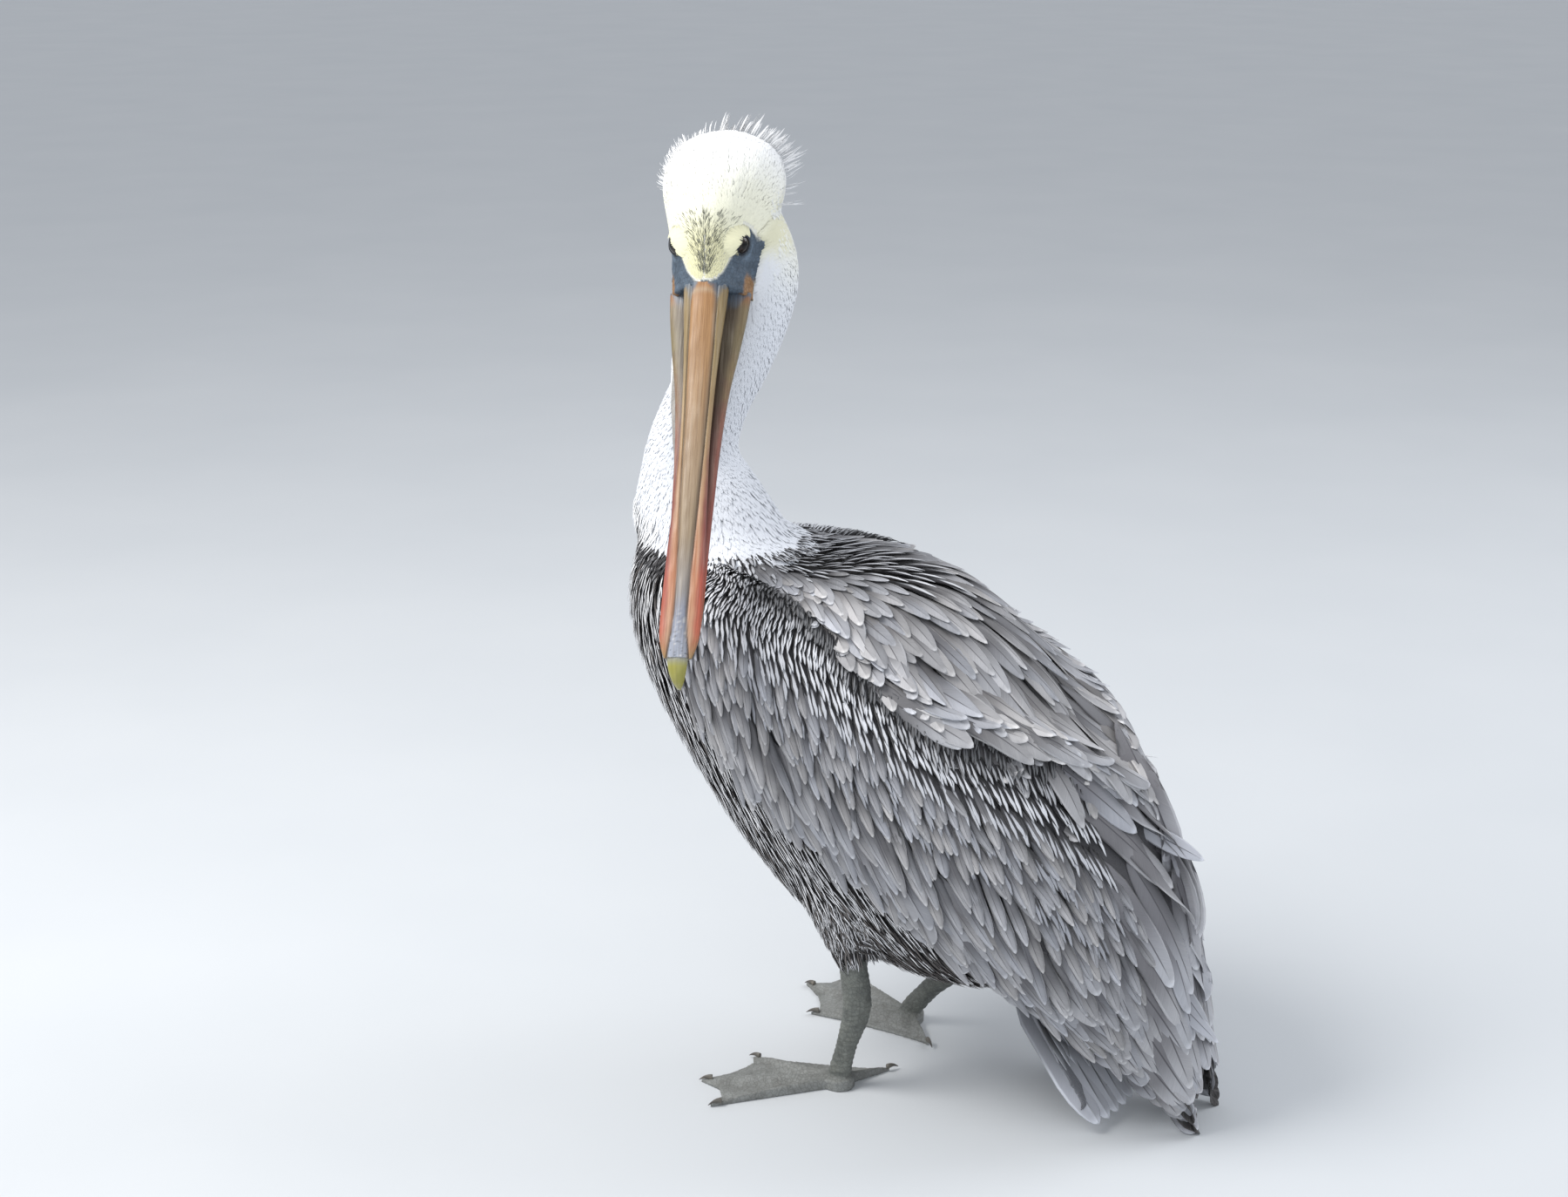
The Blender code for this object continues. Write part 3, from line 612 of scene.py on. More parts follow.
# folds of the bare skin: fine creases running from the eye down to the gape
eye_c = {1: arr(-EYE_BACK, EYE_SIDE, EYE_DOWN), -1: arr(-EYE_BACK, -EYE_SIDE, EYE_DOWN)}
hloc = np.stack([hf, hs, hu], -1)
for sd, c in eye_c.items():
    r = np.linalg.norm(hloc - c, axis=1)
    ring = np.exp(-((r - (EYE_R + 0.0016)) / 0.0011) ** 2)
    ring2 = np.exp(-((r - (EYE_R + 0.0052)) / 0.0016) ** 2)
    move += (0.0010 * ring + 0.00045 * ring2) * (np.sign(hs) == sd)
crease = np.sin((hu * 0.8 + hf * 0.6) * 2 * math.pi / 0.0042 + 2.2 * hash_noise(hd, 0.006))
move += bare * (0.00022 * crease + 0.00030 * hash_noise(hd, 0.004) + 0.0002 * hash_noise(hd, 0.0018))
# groove of the gape under the bare cheek
gape = np.exp(-((hu + 0.0300 + 0.10 * (hf + 0.01)) / 0.0016) ** 2) * (hf > -0.030) * smooth(0.012, 0.020, np.abs(hs))
move -= 0.0012 * gape
head_v = hd + hn * move[:, None]
# the skin laps a little way over the root of the bill
lap = smooth(-0.0040, -0.0003, hf)
head_v = head_v + FWD * (lap * (0.0030 + 0.0012 * hash_noise(hd, 0.004)))[:, None]
head_v = head_v + (hn - FWD * (hn @ FWD)[:, None]) * (0.0006 * lap)[:, None]

pv, pt = joined(["throat_pouch"])
pv, pt = remeshed("pouchform", pv, pt, 0.0012, 3)
pd = pv - ORIGIN
pf, ps, pu = in_head(pd)
pn = vertex_normals(pd, pt)
ang = np.arctan2(pu + 0.045, ps)
pleat = np.sin(ang * 46 + 1.6 * hash_noise(pd, 0.02)) * 0.5 + 0.3 * np.sin(ang * 97 + pf * 60)
pd = pd + pn * (0.00030 * pleat * smooth(-0.02, 0.02, pf) - 0.0004)[:, None]

lv, lt = joined(LIMBS)
lv, lt = remeshed("limbform", lv, lt, 0.0011, 2)
ld = lv - ORIGIN
ln = vertex_normals(ld, lt)
above = smooth(0.0035, 0.0060, ld[:, 2])
# reticulate scales on the tarsus and wrinkled webs between the toes
cell = np.zeros(len(ld))
for k, amp in ((0.0040, 0.00032), (0.0022, 0.00020)):
    cell += amp * (0.5 - np.abs(hash_noise(ld, k)))
tarsal = smooth(0.010, 0.014, ld[:, 2])
ringy = np.sin(ld[:, 2] * 2 * math.pi / 0.0046 + 2.5 * hash_noise(ld, 0.010))
ld = ld + ln * (above * cell + tarsal * 0.00022 * ringy)[:, None]
ld[:, 2] = np.maximum(ld[:, 2], 0.0)


def lid_shell(side):
    """Upper and lower lids: a shell round the eyeball open in an almond."""
    c = head_point(*eye_c[side])
    axis = unit(LFT * side * 0.80 + FWD * 0.42 + CRN * 0.42)
    e1 = unit(FWD - axis * (FWD @ axis))          # along the eye slit
    e2 = np.cross(axis, e1)
    nphi, nth = 48, 8
    phi = np.linspace(0, 2 * math.pi, nphi, endpoint=False)
    open_ = np.radians(22 + 22 * np.abs(np.cos(phi)) ** 1.6)
    vs = []
    for layer, rad in ((0, EYE_R + 0.00095), (1, EYE_R + 0.00012)):
        for j in range(nth):
            k = j / (nth - 1)
            th = open_ + (math.radians(96) - open_) * k
            rr = rad - (0.0004 * (1 - k) ** 6 if layer == 0 else 0) - (0.0007 * k ** 3 if layer == 0 else 0)
            rr = rr + (0.00022 * np.sin(k * 15) if layer == 0 else 0)
            vs.append(c + rr * (np.cos(th)[:, None] * axis + np.sin(th)[:, None] * (np.cos(phi)[:, None] * e1 + np.sin(phi)[:, None] * e2)))
    v = np.vstack(vs)
    f = []
    idx = lambda L, j, i: (L * nth + j) * nphi + i % nphi
    for i in range(nphi):
        for j in range(nth - 1):
            a, b, cc, d = idx(0, j, i), idx(0, j, i + 1), idx(0, j + 1, i + 1), idx(0, j + 1, i)
            f += [(a, d, cc), (a, cc, b)]
            a, b, cc, d = idx(1, j, i), idx(1, j, i + 1), idx(1, j + 1, i + 1), idx(1, j + 1, i)
            f += [(a, cc, d), (a, b, cc)]
        a, b, cc, d = idx(0, 0, i), idx(0, 0, i + 1), idx(1, 0, i + 1), idx(1, 0, i)
        f += [(a, b, cc), (a, cc, d)]
        a, b, cc, d = idx(0, nth - 1, i), idx(0, nth - 1, i + 1), idx(1, nth - 1, i + 1), idx(1, nth - 1, i)
        f += [(a, cc, b), (a, d, cc)]
    f = np.array(f)
    n = np.cross(v[f[:, 1]] - v[f[:, 0]], v[f[:, 2]] - v[f[:, 0]])
    m = v[f].mean(1)
    if (n * (m - c)).sum() < 0:
        f = f[:, ::-1]
    return v, f


def unioned(parts_, name):
    """One closed surface from overlapping closed shells."""
    base = None
    for k, (v, t) in enumerate(parts_):
        ob = new_mesh(name + str(k), v + ORIGIN, t)
        if base is None:
            base = ob
            continue
        m = base.modifiers.new("u", 'BOOLEAN')
        m.operation, m.solver, m.object = 'UNION', 'MANIFOLD', ob
        dg = bpy.context.evaluated_depsgraph_get()
        me = bpy.data.meshes.new_from_object(base.evaluated_get(dg))
        base.modifiers.clear()
        if len(me.vertices) > 0.6 * (len(base.data.vertices) + len(v)):
            base.data = me
        else:                                   # the union failed: keep the shell as it is
            v0, t0 = grab(base)
            v1, t1 = grab(ob)
            me2 = bpy.data.meshes.new(name)
            tmp = new_mesh(name + "x", np.vstack([v0, v1]), np.vstack([t0, t1 + len(v0)]))
            base.data = tmp.data
            bpy.data.objects.remove(tmp, do_unlink=True)
            print("union kept shells", k)
        bpy.data.objects.remove(ob, do_unlink=True)
    return base


lidL, lidR = lid_shell(1), lid_shell(-1)
skin = unioned([(body_v, ft), (head_v, ht), (pd, pt), (ld, lt), lidL, lidR], "skin")
skin.name = "skin"
skin.data.name = "skin"
for p_ in skin.data.polygons:
    p_.use_smooth = True
skin_v, skin_t = grab(skin)
print("skin", len(skin_v), len(skin_t))


# ---------------------------------------------------------------- feather vanes
def vane_grid(kind):
    """Column list (t, height factor, is under side) and ring stations of one vane."""
    if kind == "fine":
        cols = [(-1, 0, 0), (0, 1, 0), (1, 0, 0), (0, -0.4, 1)]
        rings = [0.22, 0.55, 0.84]
    elif kind == "small":
        cols = [(-1, 0, 0), (0, 1, 0), (1, 0, 0), (0, -0.4, 1)]
        rings = [0.10, 0.36, 0.66, 0.90]
    elif kind == "mid":
        cols = [(-1, 0, 0), (-0.5, 0.7, 0), (0, 1, 0), (0.5, 0.7, 0), (1, 0, 0), (0, -0.4, 1)]
        rings = [0.08, 0.25, 0.50, 0.74, 0.90, 0.975]
    else:
        cols = [(-1, 0, 0), (-0.82, 0.55, 0), (-0.4, 0.8, 0), (-0.045, 0.9, 0), (0, 1.7, 0), (0.045, 0.9, 0), (0.4, 0.8, 0), (0.82, 0.55, 0), (1, 0, 0), (0.4, -0.4, 1), (-0.4, -0.4, 1)]
        rings = [0.05, 0.14, 0.27, 0.42, 0.56, 0.69, 0.80, 0.88, 0.94, 0.98]
    return np.array(cols, float), np.array(rings, float)


def vane_width(s, blunt):
    """Relative half width along a vane; blunt 0 is a lance, 1 is a paddle."""
    rise = np.clip(s / lerp(0.45, 0.22, blunt), 0, 1) ** lerp(0.8, 0.6, blunt)
    a = lerp(0.35, 0.74, blunt)
    q = np.clip((s - a) / (1 - a), 0, 1)
    fall = np.clip(1 - q ** lerp(1.35, 2.0, blunt), 0, 1) ** lerp(0.85, 0.55, blunt)
    return rise * fall


class Coat:
    """Collects vanes, then makes one mesh piece."""

    soft = False                                 # downy coats are lit as one surface

    def __init__(self, name, mat, slot, patch=(0.0015, 0.0015)):
        self.name, self.mat, self.slot, self.patch = name, mat, slot, patch
        self.v, self.f, self.at, self.uv, self.nr, self.off = [], [], [], [], [], 0

    def add(self, kind, p, n, L, W, tone, alt, uv, camber=0.10, thick=0.00022, blunt=0.3, twist=0.0, skew=0.0, flip=1.0):
        """p (k, 3, 3) root, middle and tip; n (k, 3, 3) normals there."""
        cols, rings = vane_grid(kind)
        k = len(p)
        if k == 0:
            return
        as_col = lambda x: np.broadcast_to(np.asarray(x, float), (k,))[:, None]
        L, W, camber, thick, blunt, twist, skew, flip = map(as_col, (L, W, camber, thick, blunt, twist, skew, flip))
        s = np.concatenate([[0.0], rings, [1.0]])[None, :]
        l0 = (2 * (s - 0.5) * (s - 1))[..., None]
        l1 = (-4 * s * (s - 1))[..., None]
        l2 = (2 * s * (s - 0.5))[..., None]
        C = p[:, None, 0] * l0 + p[:, None, 1] * l1 + p[:, None, 2] * l2
        N = unit(n[:, None, 0] * (1 - s)[..., None] ** 2 + n[:, None, 1] * (2 * s * (1 - s))[..., None] + n[:, None, 2] * (s ** 2)[..., None])
        ground = N
        T = np.gradient(C, axis=1)
        T = unit(T)
        B = unit(np.cross(T, N))
        N = np.cross(B, T)
        tw = twist[..., None]
        B, N = B * np.cos(tw) + N * np.sin(tw), N * np.cos(tw) - B * np.sin(tw)
        w = vane_width(s, blunt) * W / 2                              # (k, m)
        t = cols[:, 0][None, None, :]
        hgt = cols[:, 1][None, None, :]
        ww = w[..., None]
        sk = 1 - skew[..., None] * flip[..., None] * np.sign(t)       # narrow outer vane
        X = t * ww * sk
        Z = -camber[..., None] * ww * t ** 2 + hgt * thick[..., None] * np.sqrt(np.clip(ww / (W[..., None] / 2), 0.05, 1))
        V = C[:, :, None] + B[:, :, None] * X[..., None] + N[:, :, None] * Z[..., None]
        m, c = len(rings), len(cols)
        body = V[:, 1:-1].reshape(k, m * c, 3)
        ends = C[:, [0, -1]]
        verts = np.concatenate([body, ends], 1)
        # faces
        fs = []
        for i in range(m - 1):
            for j in range(c):
                a, b = i * c + j, i * c + (j + 1) % c
                d, e = a + c, b + c
                fs += [(a, b, e), (a, e, d)]
        for j in range(c):
            fs.append((m * c, (j + 1) % c, j))
            a = (m - 1) * c
            fs.append((m * c + 1, a + j, a + (j + 1) % c))
        fs = np.array(fs)
        nv = m * c + 2
        F = fs[None] + (np.arange(k) * nv)[:, None, None]
        self.v.append(verts.reshape(-1, 3))
        face_up = np.where(cols[:, 2] > 0, -1.0, 1.0)[None, None, :, None]
        lit = unit(ground[:, 1:-1, None] * 0.8 + N[:, 1:-1, None] * 0.2 + B[:, 1:-1, None] * (0.15 * cols[:, 0])[None, None, :, None]) * face_up
        self.nr.append(np.concatenate([lit.reshape(k, m * c, 3), ground[:, [0, -1]]], 1).reshape(-1, 3))
        self.f.append(F.reshape(-1, 3) + self.off)
        self.off += k * nv
        sa = np.concatenate([np.repeat(rings, c), [0.0, 1.0]])
        ta = np.concatenate([np.tile(cols[:, 0], m), [0.0, 0.0]])
        along = np.broadcast_to(sa, (k, nv))
        across = np.broadcast_to(ta, (k, nv))
        wfull = np.concatenate([np.repeat(w[:, 1:-1], c, axis=1), np.zeros((k, 2))], 1)
        barb = along * L - 1.1 * np.abs(across) * wfull
        rnd = np.broadcast_to(RNG.random((k, 1)), (k, nv))
        lead = across * flip
        rep = lambda x: np.broadcast_to(np.asarray(x, float).reshape(-1, 1, 3) if np.ndim(x) > 1 else np.asarray(x, float).reshape(1, 1, 3), (k, nv, 3)).reshape(-1, 3)
        self.at.append((along.ravel(), lead.ravel(), (barb * 1000).ravel(), rnd.ravel(), rep(tone), rep(alt)))
        # small patch of the atlas at the root's place
        px, py = self.patch
        U = uv[:, 0:1] + across * px * 0.92
        Vv = uv[:, 1:2] + (along - 0.5) * 2 * py * 0.92
        self.uv.append(np.stack([U, Vv], -1).reshape(-1, 2))

    def make(self):
        v = np.vstack(self.v) + ORIGIN
        f = np.vstack(self.f)
        # nothing goes under the floor
        v[:, 2] = np.maximum(v[:, 2], 0.0004)
        ob = new_mesh(self.name, v, f, self.mat)
        me = ob.data
        cat = [np.concatenate([a[i] for a in self.at]) for i in range(6)]
        for nm, data in (("fa", cat[0]), ("ft", cat[1]), ("barb", cat[2]), ("rnd", cat[3])):
            at = me.attributes.new(nm, 'FLOAT', 'POINT')
            at.data.foreach_set("value", np.ascontiguousarray(data, np.float32))
        for nm, data in (("tone", cat[4]), ("alt", cat[5])):
            at = me.attributes.new(nm, 'FLOAT_COLOR', 'POINT')
            at.data.foreach_set("color", np.hstack([data, np.ones((len(data), 1))]).astype(np.float32).ravel())
        uv = np.clip(np.vstack(self.uv), 0.0005, 0.9995)
        lay = me.uv_layers.new(name="OFBake")
        lay.data.foreach_set("uv", uv[f.ravel()].astype(np.float32).ravel())
        if self.soft:
            me.normals_split_custom_set_from_vertices(np.vstack(self.nr).astype(np.float32).tolist())
        print(self.name, len(f))
        return ob


def atlas(uv, cell):
    """Give each root its own cell of the unwrap, the nearest free one to its place."""
    nx, ny = int(1 / cell[0]), int(1 / cell[1])
    used = np.zeros((nx, ny), bool)
    out = np.empty_like(uv)
    for k, (a, b) in enumerate(uv):
        i0, j0 = min(max(int(a * nx), 0), nx - 1), min(max(int(b * ny), 0), ny - 1)
        r = 0
        while True:
            done = False
            for i in range(max(i0 - r, 0), min(i0 + r, nx - 1) + 1):
                for j in range(max(j0 - r, 0), min(j0 + r, ny - 1) + 1):
                    if max(abs(i - i0), abs(j - j0)) == r and not used[i, j]:
                        used[i, j] = True
                        out[k] = ((i + 0.5) * cell[0], (j + 0.5) * cell[1])
                        done = True
                        break
                if done:
                    break
            if done:
                break
            r += 1
            if r > 80:
                out[k] = ((i0 + 0.5) * cell[0], (j0 + 0.5) * cell[1])
                break
    return out


def lay_on(surf, root, d, L, h, droop=None):
    """Root, middle and tip of each vane laid on a surface along d, at heights h (3)."""
    L = np.broadcast_to(np.asarray(L, float), (len(root),))[:, None]
    d = unit(d)
    q = np.stack([root, root + d * L * 0.5, root + d * L], 1)
    flat = q.reshape(-1, 3)
    s, n = surf.snap(flat)
    s, n = s.reshape(-1, 3, 3), n.reshape(-1, 3, 3)
    # keep the vane's length on curved ground
    for a, b in ((0, 1), (1, 2)):
        step = s[:, b] - s[:, a]
        s[:, b] = s[:, a] + unit(step) * np.minimum(L * 0.5, np.linalg.norm(step, axis=1, keepdims=True) * 1.25 + 1e-6)
    hh = np.asarray(h, float)
    if hh.ndim == 1:
        hh = np.broadcast_to(hh, (len(root), 3))
    return s + n * hh[..., None], n


def rows_on(fun, s_list, a0, a1, gap, closed=False):
    """Seeds in rows: at each station the arc from a0 to a1 is filled every gap metres, rows staggered."""
    S, A = [], []
    for k, s in enumerate(s_list):
        lo, hi = (a0(s), a1(s)) if callable(a0) else (a0, a1)
        fine = np.linspace(lo, hi, 160)
        p = fun(np.full(160, s), fine)
        arc = np.concatenate([[0], np.cumsum(np.linalg.norm(np.diff(p, axis=0), axis=1))])
        g = gap(s) if callable(gap) else gap
        cnt = int(arc[-1] / g)
        if cnt < 1:
            continue
        at = (np.arange(cnt) + (0.25 if k % 2 else 0.75)) / cnt * arc[-1]
        at = at + RNG.normal(0, 0.16 * g, cnt)
        A.append(np.interp(at, arc, fine))
        S.append(np.full(cnt, s))
    return np.concatenate(S), np.concatenate(A)


def stations(fun, s0, s1, step, ang):
    """Stations from s0 to s1 so that rows are step metres apart at angle ang."""
    fine = np.linspace(s0, s1, 400)
    p = fun(fine, np.full(400, ang))
    arc = np.concatenate([[0], np.cumsum(np.linalg.norm(np.diff(p, axis=0), axis=1))])
    n = max(int(arc[-1] / step), 1)
    return np.interp(np.linspace(0, arc[-1], n + 1), arc, fine)


def jitter(d, n, deg):
    """Turn directions about the normals by a random angle."""
    a = RNG.normal(0, math.radians(deg), len(d))[:, None]
    d = unit(d - n * (d * n).sum(-1, keepdims=True))
    return d * np.cos(a) + np.cross(n, d) * np.sin(a)


def shade(rgb, k, spread=0.10):
    """k copies of a colour, each a little lighter or darker."""
    f = np.exp(RNG.normal(0, spread, (k, 1)))
    return np.clip(np.asarray(rgb, float).reshape(-1, 3) * f, 0, 1)


# ---------------------------------------------------------------- feather tracts
GREY = arr(0.378, 0.388, 0.424)
WARM = arr(0.450, 0.438, 0.438)
SILVER = arr(0.70, 0.71, 0.745)
BLACKISH = arr(0.020, 0.019, 0.022)
BREAST = arr(0.021, 0.019, 0.020)
BROWN = arr(0.085, 0.062, 0.050)
WHITE = arr(0.94, 0.945, 0.955)
CREAM = arr(0.95, 0.93, 0.72)
YELLOW = arr(0.80, 0.76, 0.42)

coats = []
rad = math.radians


def pick(mask, *arrays):
    return [a[mask] for a in arrays]


def over_lids(P, h):
    """Lift points that fall inside the lids out on to them."""
    hh = np.broadcast_to(h, P.shape[:2])
    for c in eye_c.values():
        cc = head_point(*c)
        d = P - cc
        r = np.linalg.norm(d, axis=-1)
        want = EYE_R + 0.0010 + hh
        P = np.where((r < want)[..., None], cc + d / r[..., None] * want[..., None], P)
    return P


def lifted(P, h):
    """Lift points that lie under the outer form up to height h over it."""
    flat = P.reshape(-1, 3)
    s, n = core.snap(flat)
    off = ((flat - s) * n).sum(1)
    hh = np.broadcast_to(h, P.shape[:2]).reshape(-1)
    low = off < hh - 0.0014
    return np.where(low[:, None], s + n * hh[:, None], flat).reshape(P.shape)


# --- head
def head_coat():
    """Short plumes of crown, cheeks and throat, finest on the forehead."""
    co = Coat("coat_crown", MAT["white"], "crown_plumage")
    face = Coat("coat_face", MAT["white"], "crown_plumage")
    face.patch = (0.0015, 0.0015)
    co.soft = face.soft = True
    hform = Surface(hd, ht, 8)
    # even scatter over the head form: rows round the head's long axis
    def fun(b, a):
        r = cr(HEAD, b)
        mid, hh = (r[..., 2] + r[..., 3]) / 2, (r[..., 2] - r[..., 3]) / 2
        c, q = np.cos(a), np.sin(a)
        x = r[..., 1] * (1 - r[..., 4] * q) * np.sign(c) * np.abs(c) ** (2 / 2.15)
        y = hh * np.sign(q) * np.abs(q) ** (2 / 2.15)
        return head_point(-r[..., 0], r[..., 5] + x, mid + y)
    S, A = [], []
    for lo, hi, step, gap in ((0.0, 2.9, 0.00145, 0.00100), (2.9, 6.999, 0.0021, 0.00172)):
        st = stations(fun, lo, hi, step, rad(90))
        s, a = rows_on(fun, st, -math.pi, math.pi, gap)
        S.append(s); A.append(a)
    s, a = np.concatenate(S), np.concatenate(A)
    p, n = hform.snap(fun(s, a))
    f_, s_, u_ = in_head(p)
    b = bare_face(p)
    # the neck hides the underside of the back of the head
    inside = core.depth  # not used for the test below
    mouth = (f_ > -0.010) & (u_ < -0.050) & (np.abs(s_) < 0.016)
    facing = (n * core.snap(p)[1]).sum(1)
    keep = (b < 0.35) & (f_ < 0.0005) & ~mouth & (facing > 0.25)
    p, n, f_, s_, u_ = pick(keep, p, n, f_, s_, u_)
    k = len(p)
    # plumes run back from the bill, down the cheeks and round behind
    back = -FWD * 1.0 + 0 * n
    down = -CRN * (0.55 * smooth(0.010, -0.030, u_) + 0.9 * smooth(-0.085, -0.112, f_))[:, None]
    outw = (LFT * np.sign(s_)[:, None]) * (0.35 * np.clip(1 - np.abs(s_) / 0.03, 0, 1) * smooth(-0.06, -0.01, f_))[:, None]
    d = jitter(back + down + outw, n, 4.5)
    fore = smooth(-0.052, -0.020, f_) * smooth(-0.030, -0.012, u_)
    crest = smooth(-0.050, -0.085, f_) * smooth(-0.010, 0.010, u_)
    L = lerp(0.0082, 0.0034, fore) * np.exp(RNG.normal(0, 0.14, k))
    L = L * (1 + 0.45 * crest)
    W = lerp(0.0030, 0.00120, fore)
    lift = 0.00015 + crest * 0.0010 * RNG.random(k) ** 3
    hts = np.stack([np.full(k, -1.0) * lerp(0.0018, 0.0014, fore), -0.0001 + 0.3 * lift, 0.00015 + lift], 1)
    P3, N3 = lay_on(hform, p, d, L, hts)
    P3 = lifted(over_lids(P3, arr(-0.0006, 0.0003, 0.0005)), hts)
    # by the neck the vanes follow the outline of head and neck together
    joint = np.maximum(smooth(-0.010, -0.020, u_), smooth(-0.070, -0.085, f_))[:, None, None]
    N3 = unit(lerp(N3, core.snap(P3.reshape(-1, 3))[1].reshape(P3.shape), joint))
    # colour: white crown, pale yellow forehead and cheek, white hind neck
    yel = np.clip(smooth(-0.105, -0.032, f_) * 0.95, 0, 1)
    yel = np.maximum(yel, 0.80 * np.exp(-((f_ + 0.052) / 0.024) ** 2) * smooth(0.016, 0.028, np.abs(s_)) * smooth(-0.060, -0.028, u_))
    yel = yel * smooth(-0.050, -0.034, u_ + 0.25 * (f_ + 0.04))
    # painted shade: the low front of the cheek, under the head, loses its yellow and is laid down bluish grey like the
    # shaded neck
    cheek = smooth(-0.016, -0.030, u_) * smooth(-0.040, -0.020, f_)
    yel = yel * (1 - 0.75 * cheek)
    tone = lerp(WHITE[None], CREAM[None], np.clip(yel, 0, 1)[:, None])
    deep = smooth(-0.046, -0.022, f_) * smooth(0.024, 0.008, np.abs(s_))
    tone = lerp(tone, YELLOW[None] * 1.02, (0.68 * deep)[:, None])
    # black flecks fan out from the middle of the forehead
    tone = tone * np.exp(RNG.normal(0, 0.015, (k, 1)))
    # painted shade: bluish grey over the low cheek
    tone = lerp(tone, arr(0.80, 0.825, 0.885)[None], (0.80 * cheek)[:, None])
    # painted shade: the fold between crown and cheek is darkened, with a little more yellow
    side_ = smooth(-0.010, -0.024, u_) * smooth(-0.085, -0.055, f_) * (1 - cheek)
    tone = lerp(tone, lerp(CREAM, YELLOW, 0.35)[None] * 0.80, (0.75 * side_)[:, None])
    uv = atlas(np.stack([0.5 + (a[keep] / math.pi) * 0.49, 0.02 + 0.96 * s[keep] / 7.0], 1), (0.0062, 0.0062))
    co.patch = (0.0015, 0.0015)
    front = f_ > -0.053
    for part, sel in ((face, front), (co, ~front)):
        part.add("fine", P3[sel], N3[sel], L[sel], W[sel], tone[sel], tone[sel] * 0.92, uv[sel], camber=0.20, thick=0.00016, blunt=0.16)
    # fine black bristles fan out from the middle of the forehead
    m = 520
    f0 = -0.0030 - 0.047 * RNG.random(m) ** 0.95
    spread = 0.0028 + 0.42 * (-f0)
    s0 = np.clip(RNG.normal(0, 0.46, m), -1, 1) * spread
    q, nn = hform.snap(head_point(f0, s0, 0.006))
    ok = bare_face(q) < 0.3
    q, nn, f0, s0 = pick(ok, q, nn, f0, s0)
    m = len(q)
    dd = jitter(-FWD + LFT * (s0 / 0.013)[:, None], nn, 8)
    LL = RNG.uniform(0.0034, 0.0068, m)
    P, N = lay_on(hform, q, dd, LL, np.stack([np.full(m, -0.0002), np.full(m, 0.0005), np.full(m, 0.0006)], 1))
    face.add("fine", P, N, LL, RNG.uniform(0.00022, 0.00036, m), shade(arr(0.085, 0.090, 0.075), m, 0.5), arr(0.07, 0.075, 0.065),
             np.stack([0.5 + s0 * 6, 0.12 - f0 * 3], 1), camber=0.1, thick=0.00012, blunt=0.0)
    # brow plumes lie over the upper and inner side of the lids, down to their rim
    for sd, c0 in eye_c.items():
        c = head_point(*c0)
        axis = unit(LFT * sd * 0.80 + FWD * 0.42 + CRN * 0.42)
        e1 = unit(FWD - axis * (FWD @ axis))
        e2 = np.cross(axis, e1)
        e2 = e2 if e2 @ (CRN - LFT * sd) > 0 else -e2
        m = 430
        ph = RNG.uniform(rad(0), rad(196), m)
        th = np.radians(24 + 22 * np.abs(np.cos(ph)) ** 1.6 + 50 * RNG.random(m) ** 1.2)
        ring_ = lambda t_, f2, r2: c + r2 * (np.cos(t_)[:, None] * axis + np.sin(t_)[:, None] * (np.cos(f2)[:, None] * e1 + np.sin(f2)[:, None] * e2))
        tip_ = ring_(th, ph + rad(8), EYE_R + 0.0015)
        root_, rn = hform.snap(ring_(th * 0 + rad(98), ph - rad(12), EYE_R + 0.0070))
        root_ = lerp(root_, tip_, (0.35 * RNG.random(m))[:, None]) - rn * 0.0006
        mid_ = (root_ + tip_) / 2 + axis * 0.0009
        P = over_lids(np.stack([root_, mid_, tip_], 1), arr(-0.0006, 0.0004, 0.0004))
        N = unit(rn * 0.8 + unit(tip_ - c) * 0.45)
        N = np.stack([N] * 3, 1)
        LL = np.linalg.norm(tip_ - root_, axis=1)
        tn = shade(lerp(CREAM, YELLOW, 0.42), m, 0.02)
        face.add("fine", P, N, LL, 0.0016, tn, tn * 0.94, np.stack([0.5 + sd * (0.2 + 0.1 * ph / 3.4), 0.30 + 0.1 * th], 1), camber=0.15, thick=0.00014, blunt=0.1)
    coats.append(face.make())
    # crest: fine spiky plumes on the hind crown
    m = 620
    f0 = -RNG.uniform(0.080, 0.118, m)
    s0 = RNG.normal(0.010, 0.020, m)
    q, nn = hform.snap(head_point(f0, np.clip(s0, -0.036, 0.042), 0.022))
    ff, ss, uu = in_head(q)
    ok = (uu > -0.012) & (nn @ SIGHT < 0.42) & (ss > -0.022)
    q, nn, ff, ss = pick(ok, q, nn, ff, ss)
    m = len(q)
    dd = jitter(-FWD + 0.25 * LFT * np.sign(ss)[:, None] - 0.5 * CRN * smooth(-0.095, -0.118, ff)[:, None], nn, 16)
    rise = smooth(-0.050, -0.105, ff)
    LL = RNG.uniform(0.010, 0.017, m) * (0.7 + 0.4 * rise)
    P3 = np.stack([q - nn * 0.001, q + dd * (LL * 0.5)[:, None] + nn * (0.0018 + 0.0015 * rise * RNG.random(m))[:, None],
                   q + dd * LL[:, None] + nn * (0.0026 + 0.0062 * rise * RNG.random(m) ** 1.2)[:, None]], 1)
    P3[:, :, 2] = np.minimum(P3[:, :, 2], 0.7077 + 0.006)
    co.add("fine", P3, np.stack([nn] * 3, 1), LL, 0.0011, shade(WHITE, m, 0.02), shade(WHITE, m, 0.02),
           np.stack([0.5 + ss * 6, 0.5 - ff * 3], 1) % 1.0, camber=0.2, thick=0.00014, blunt=0.0)
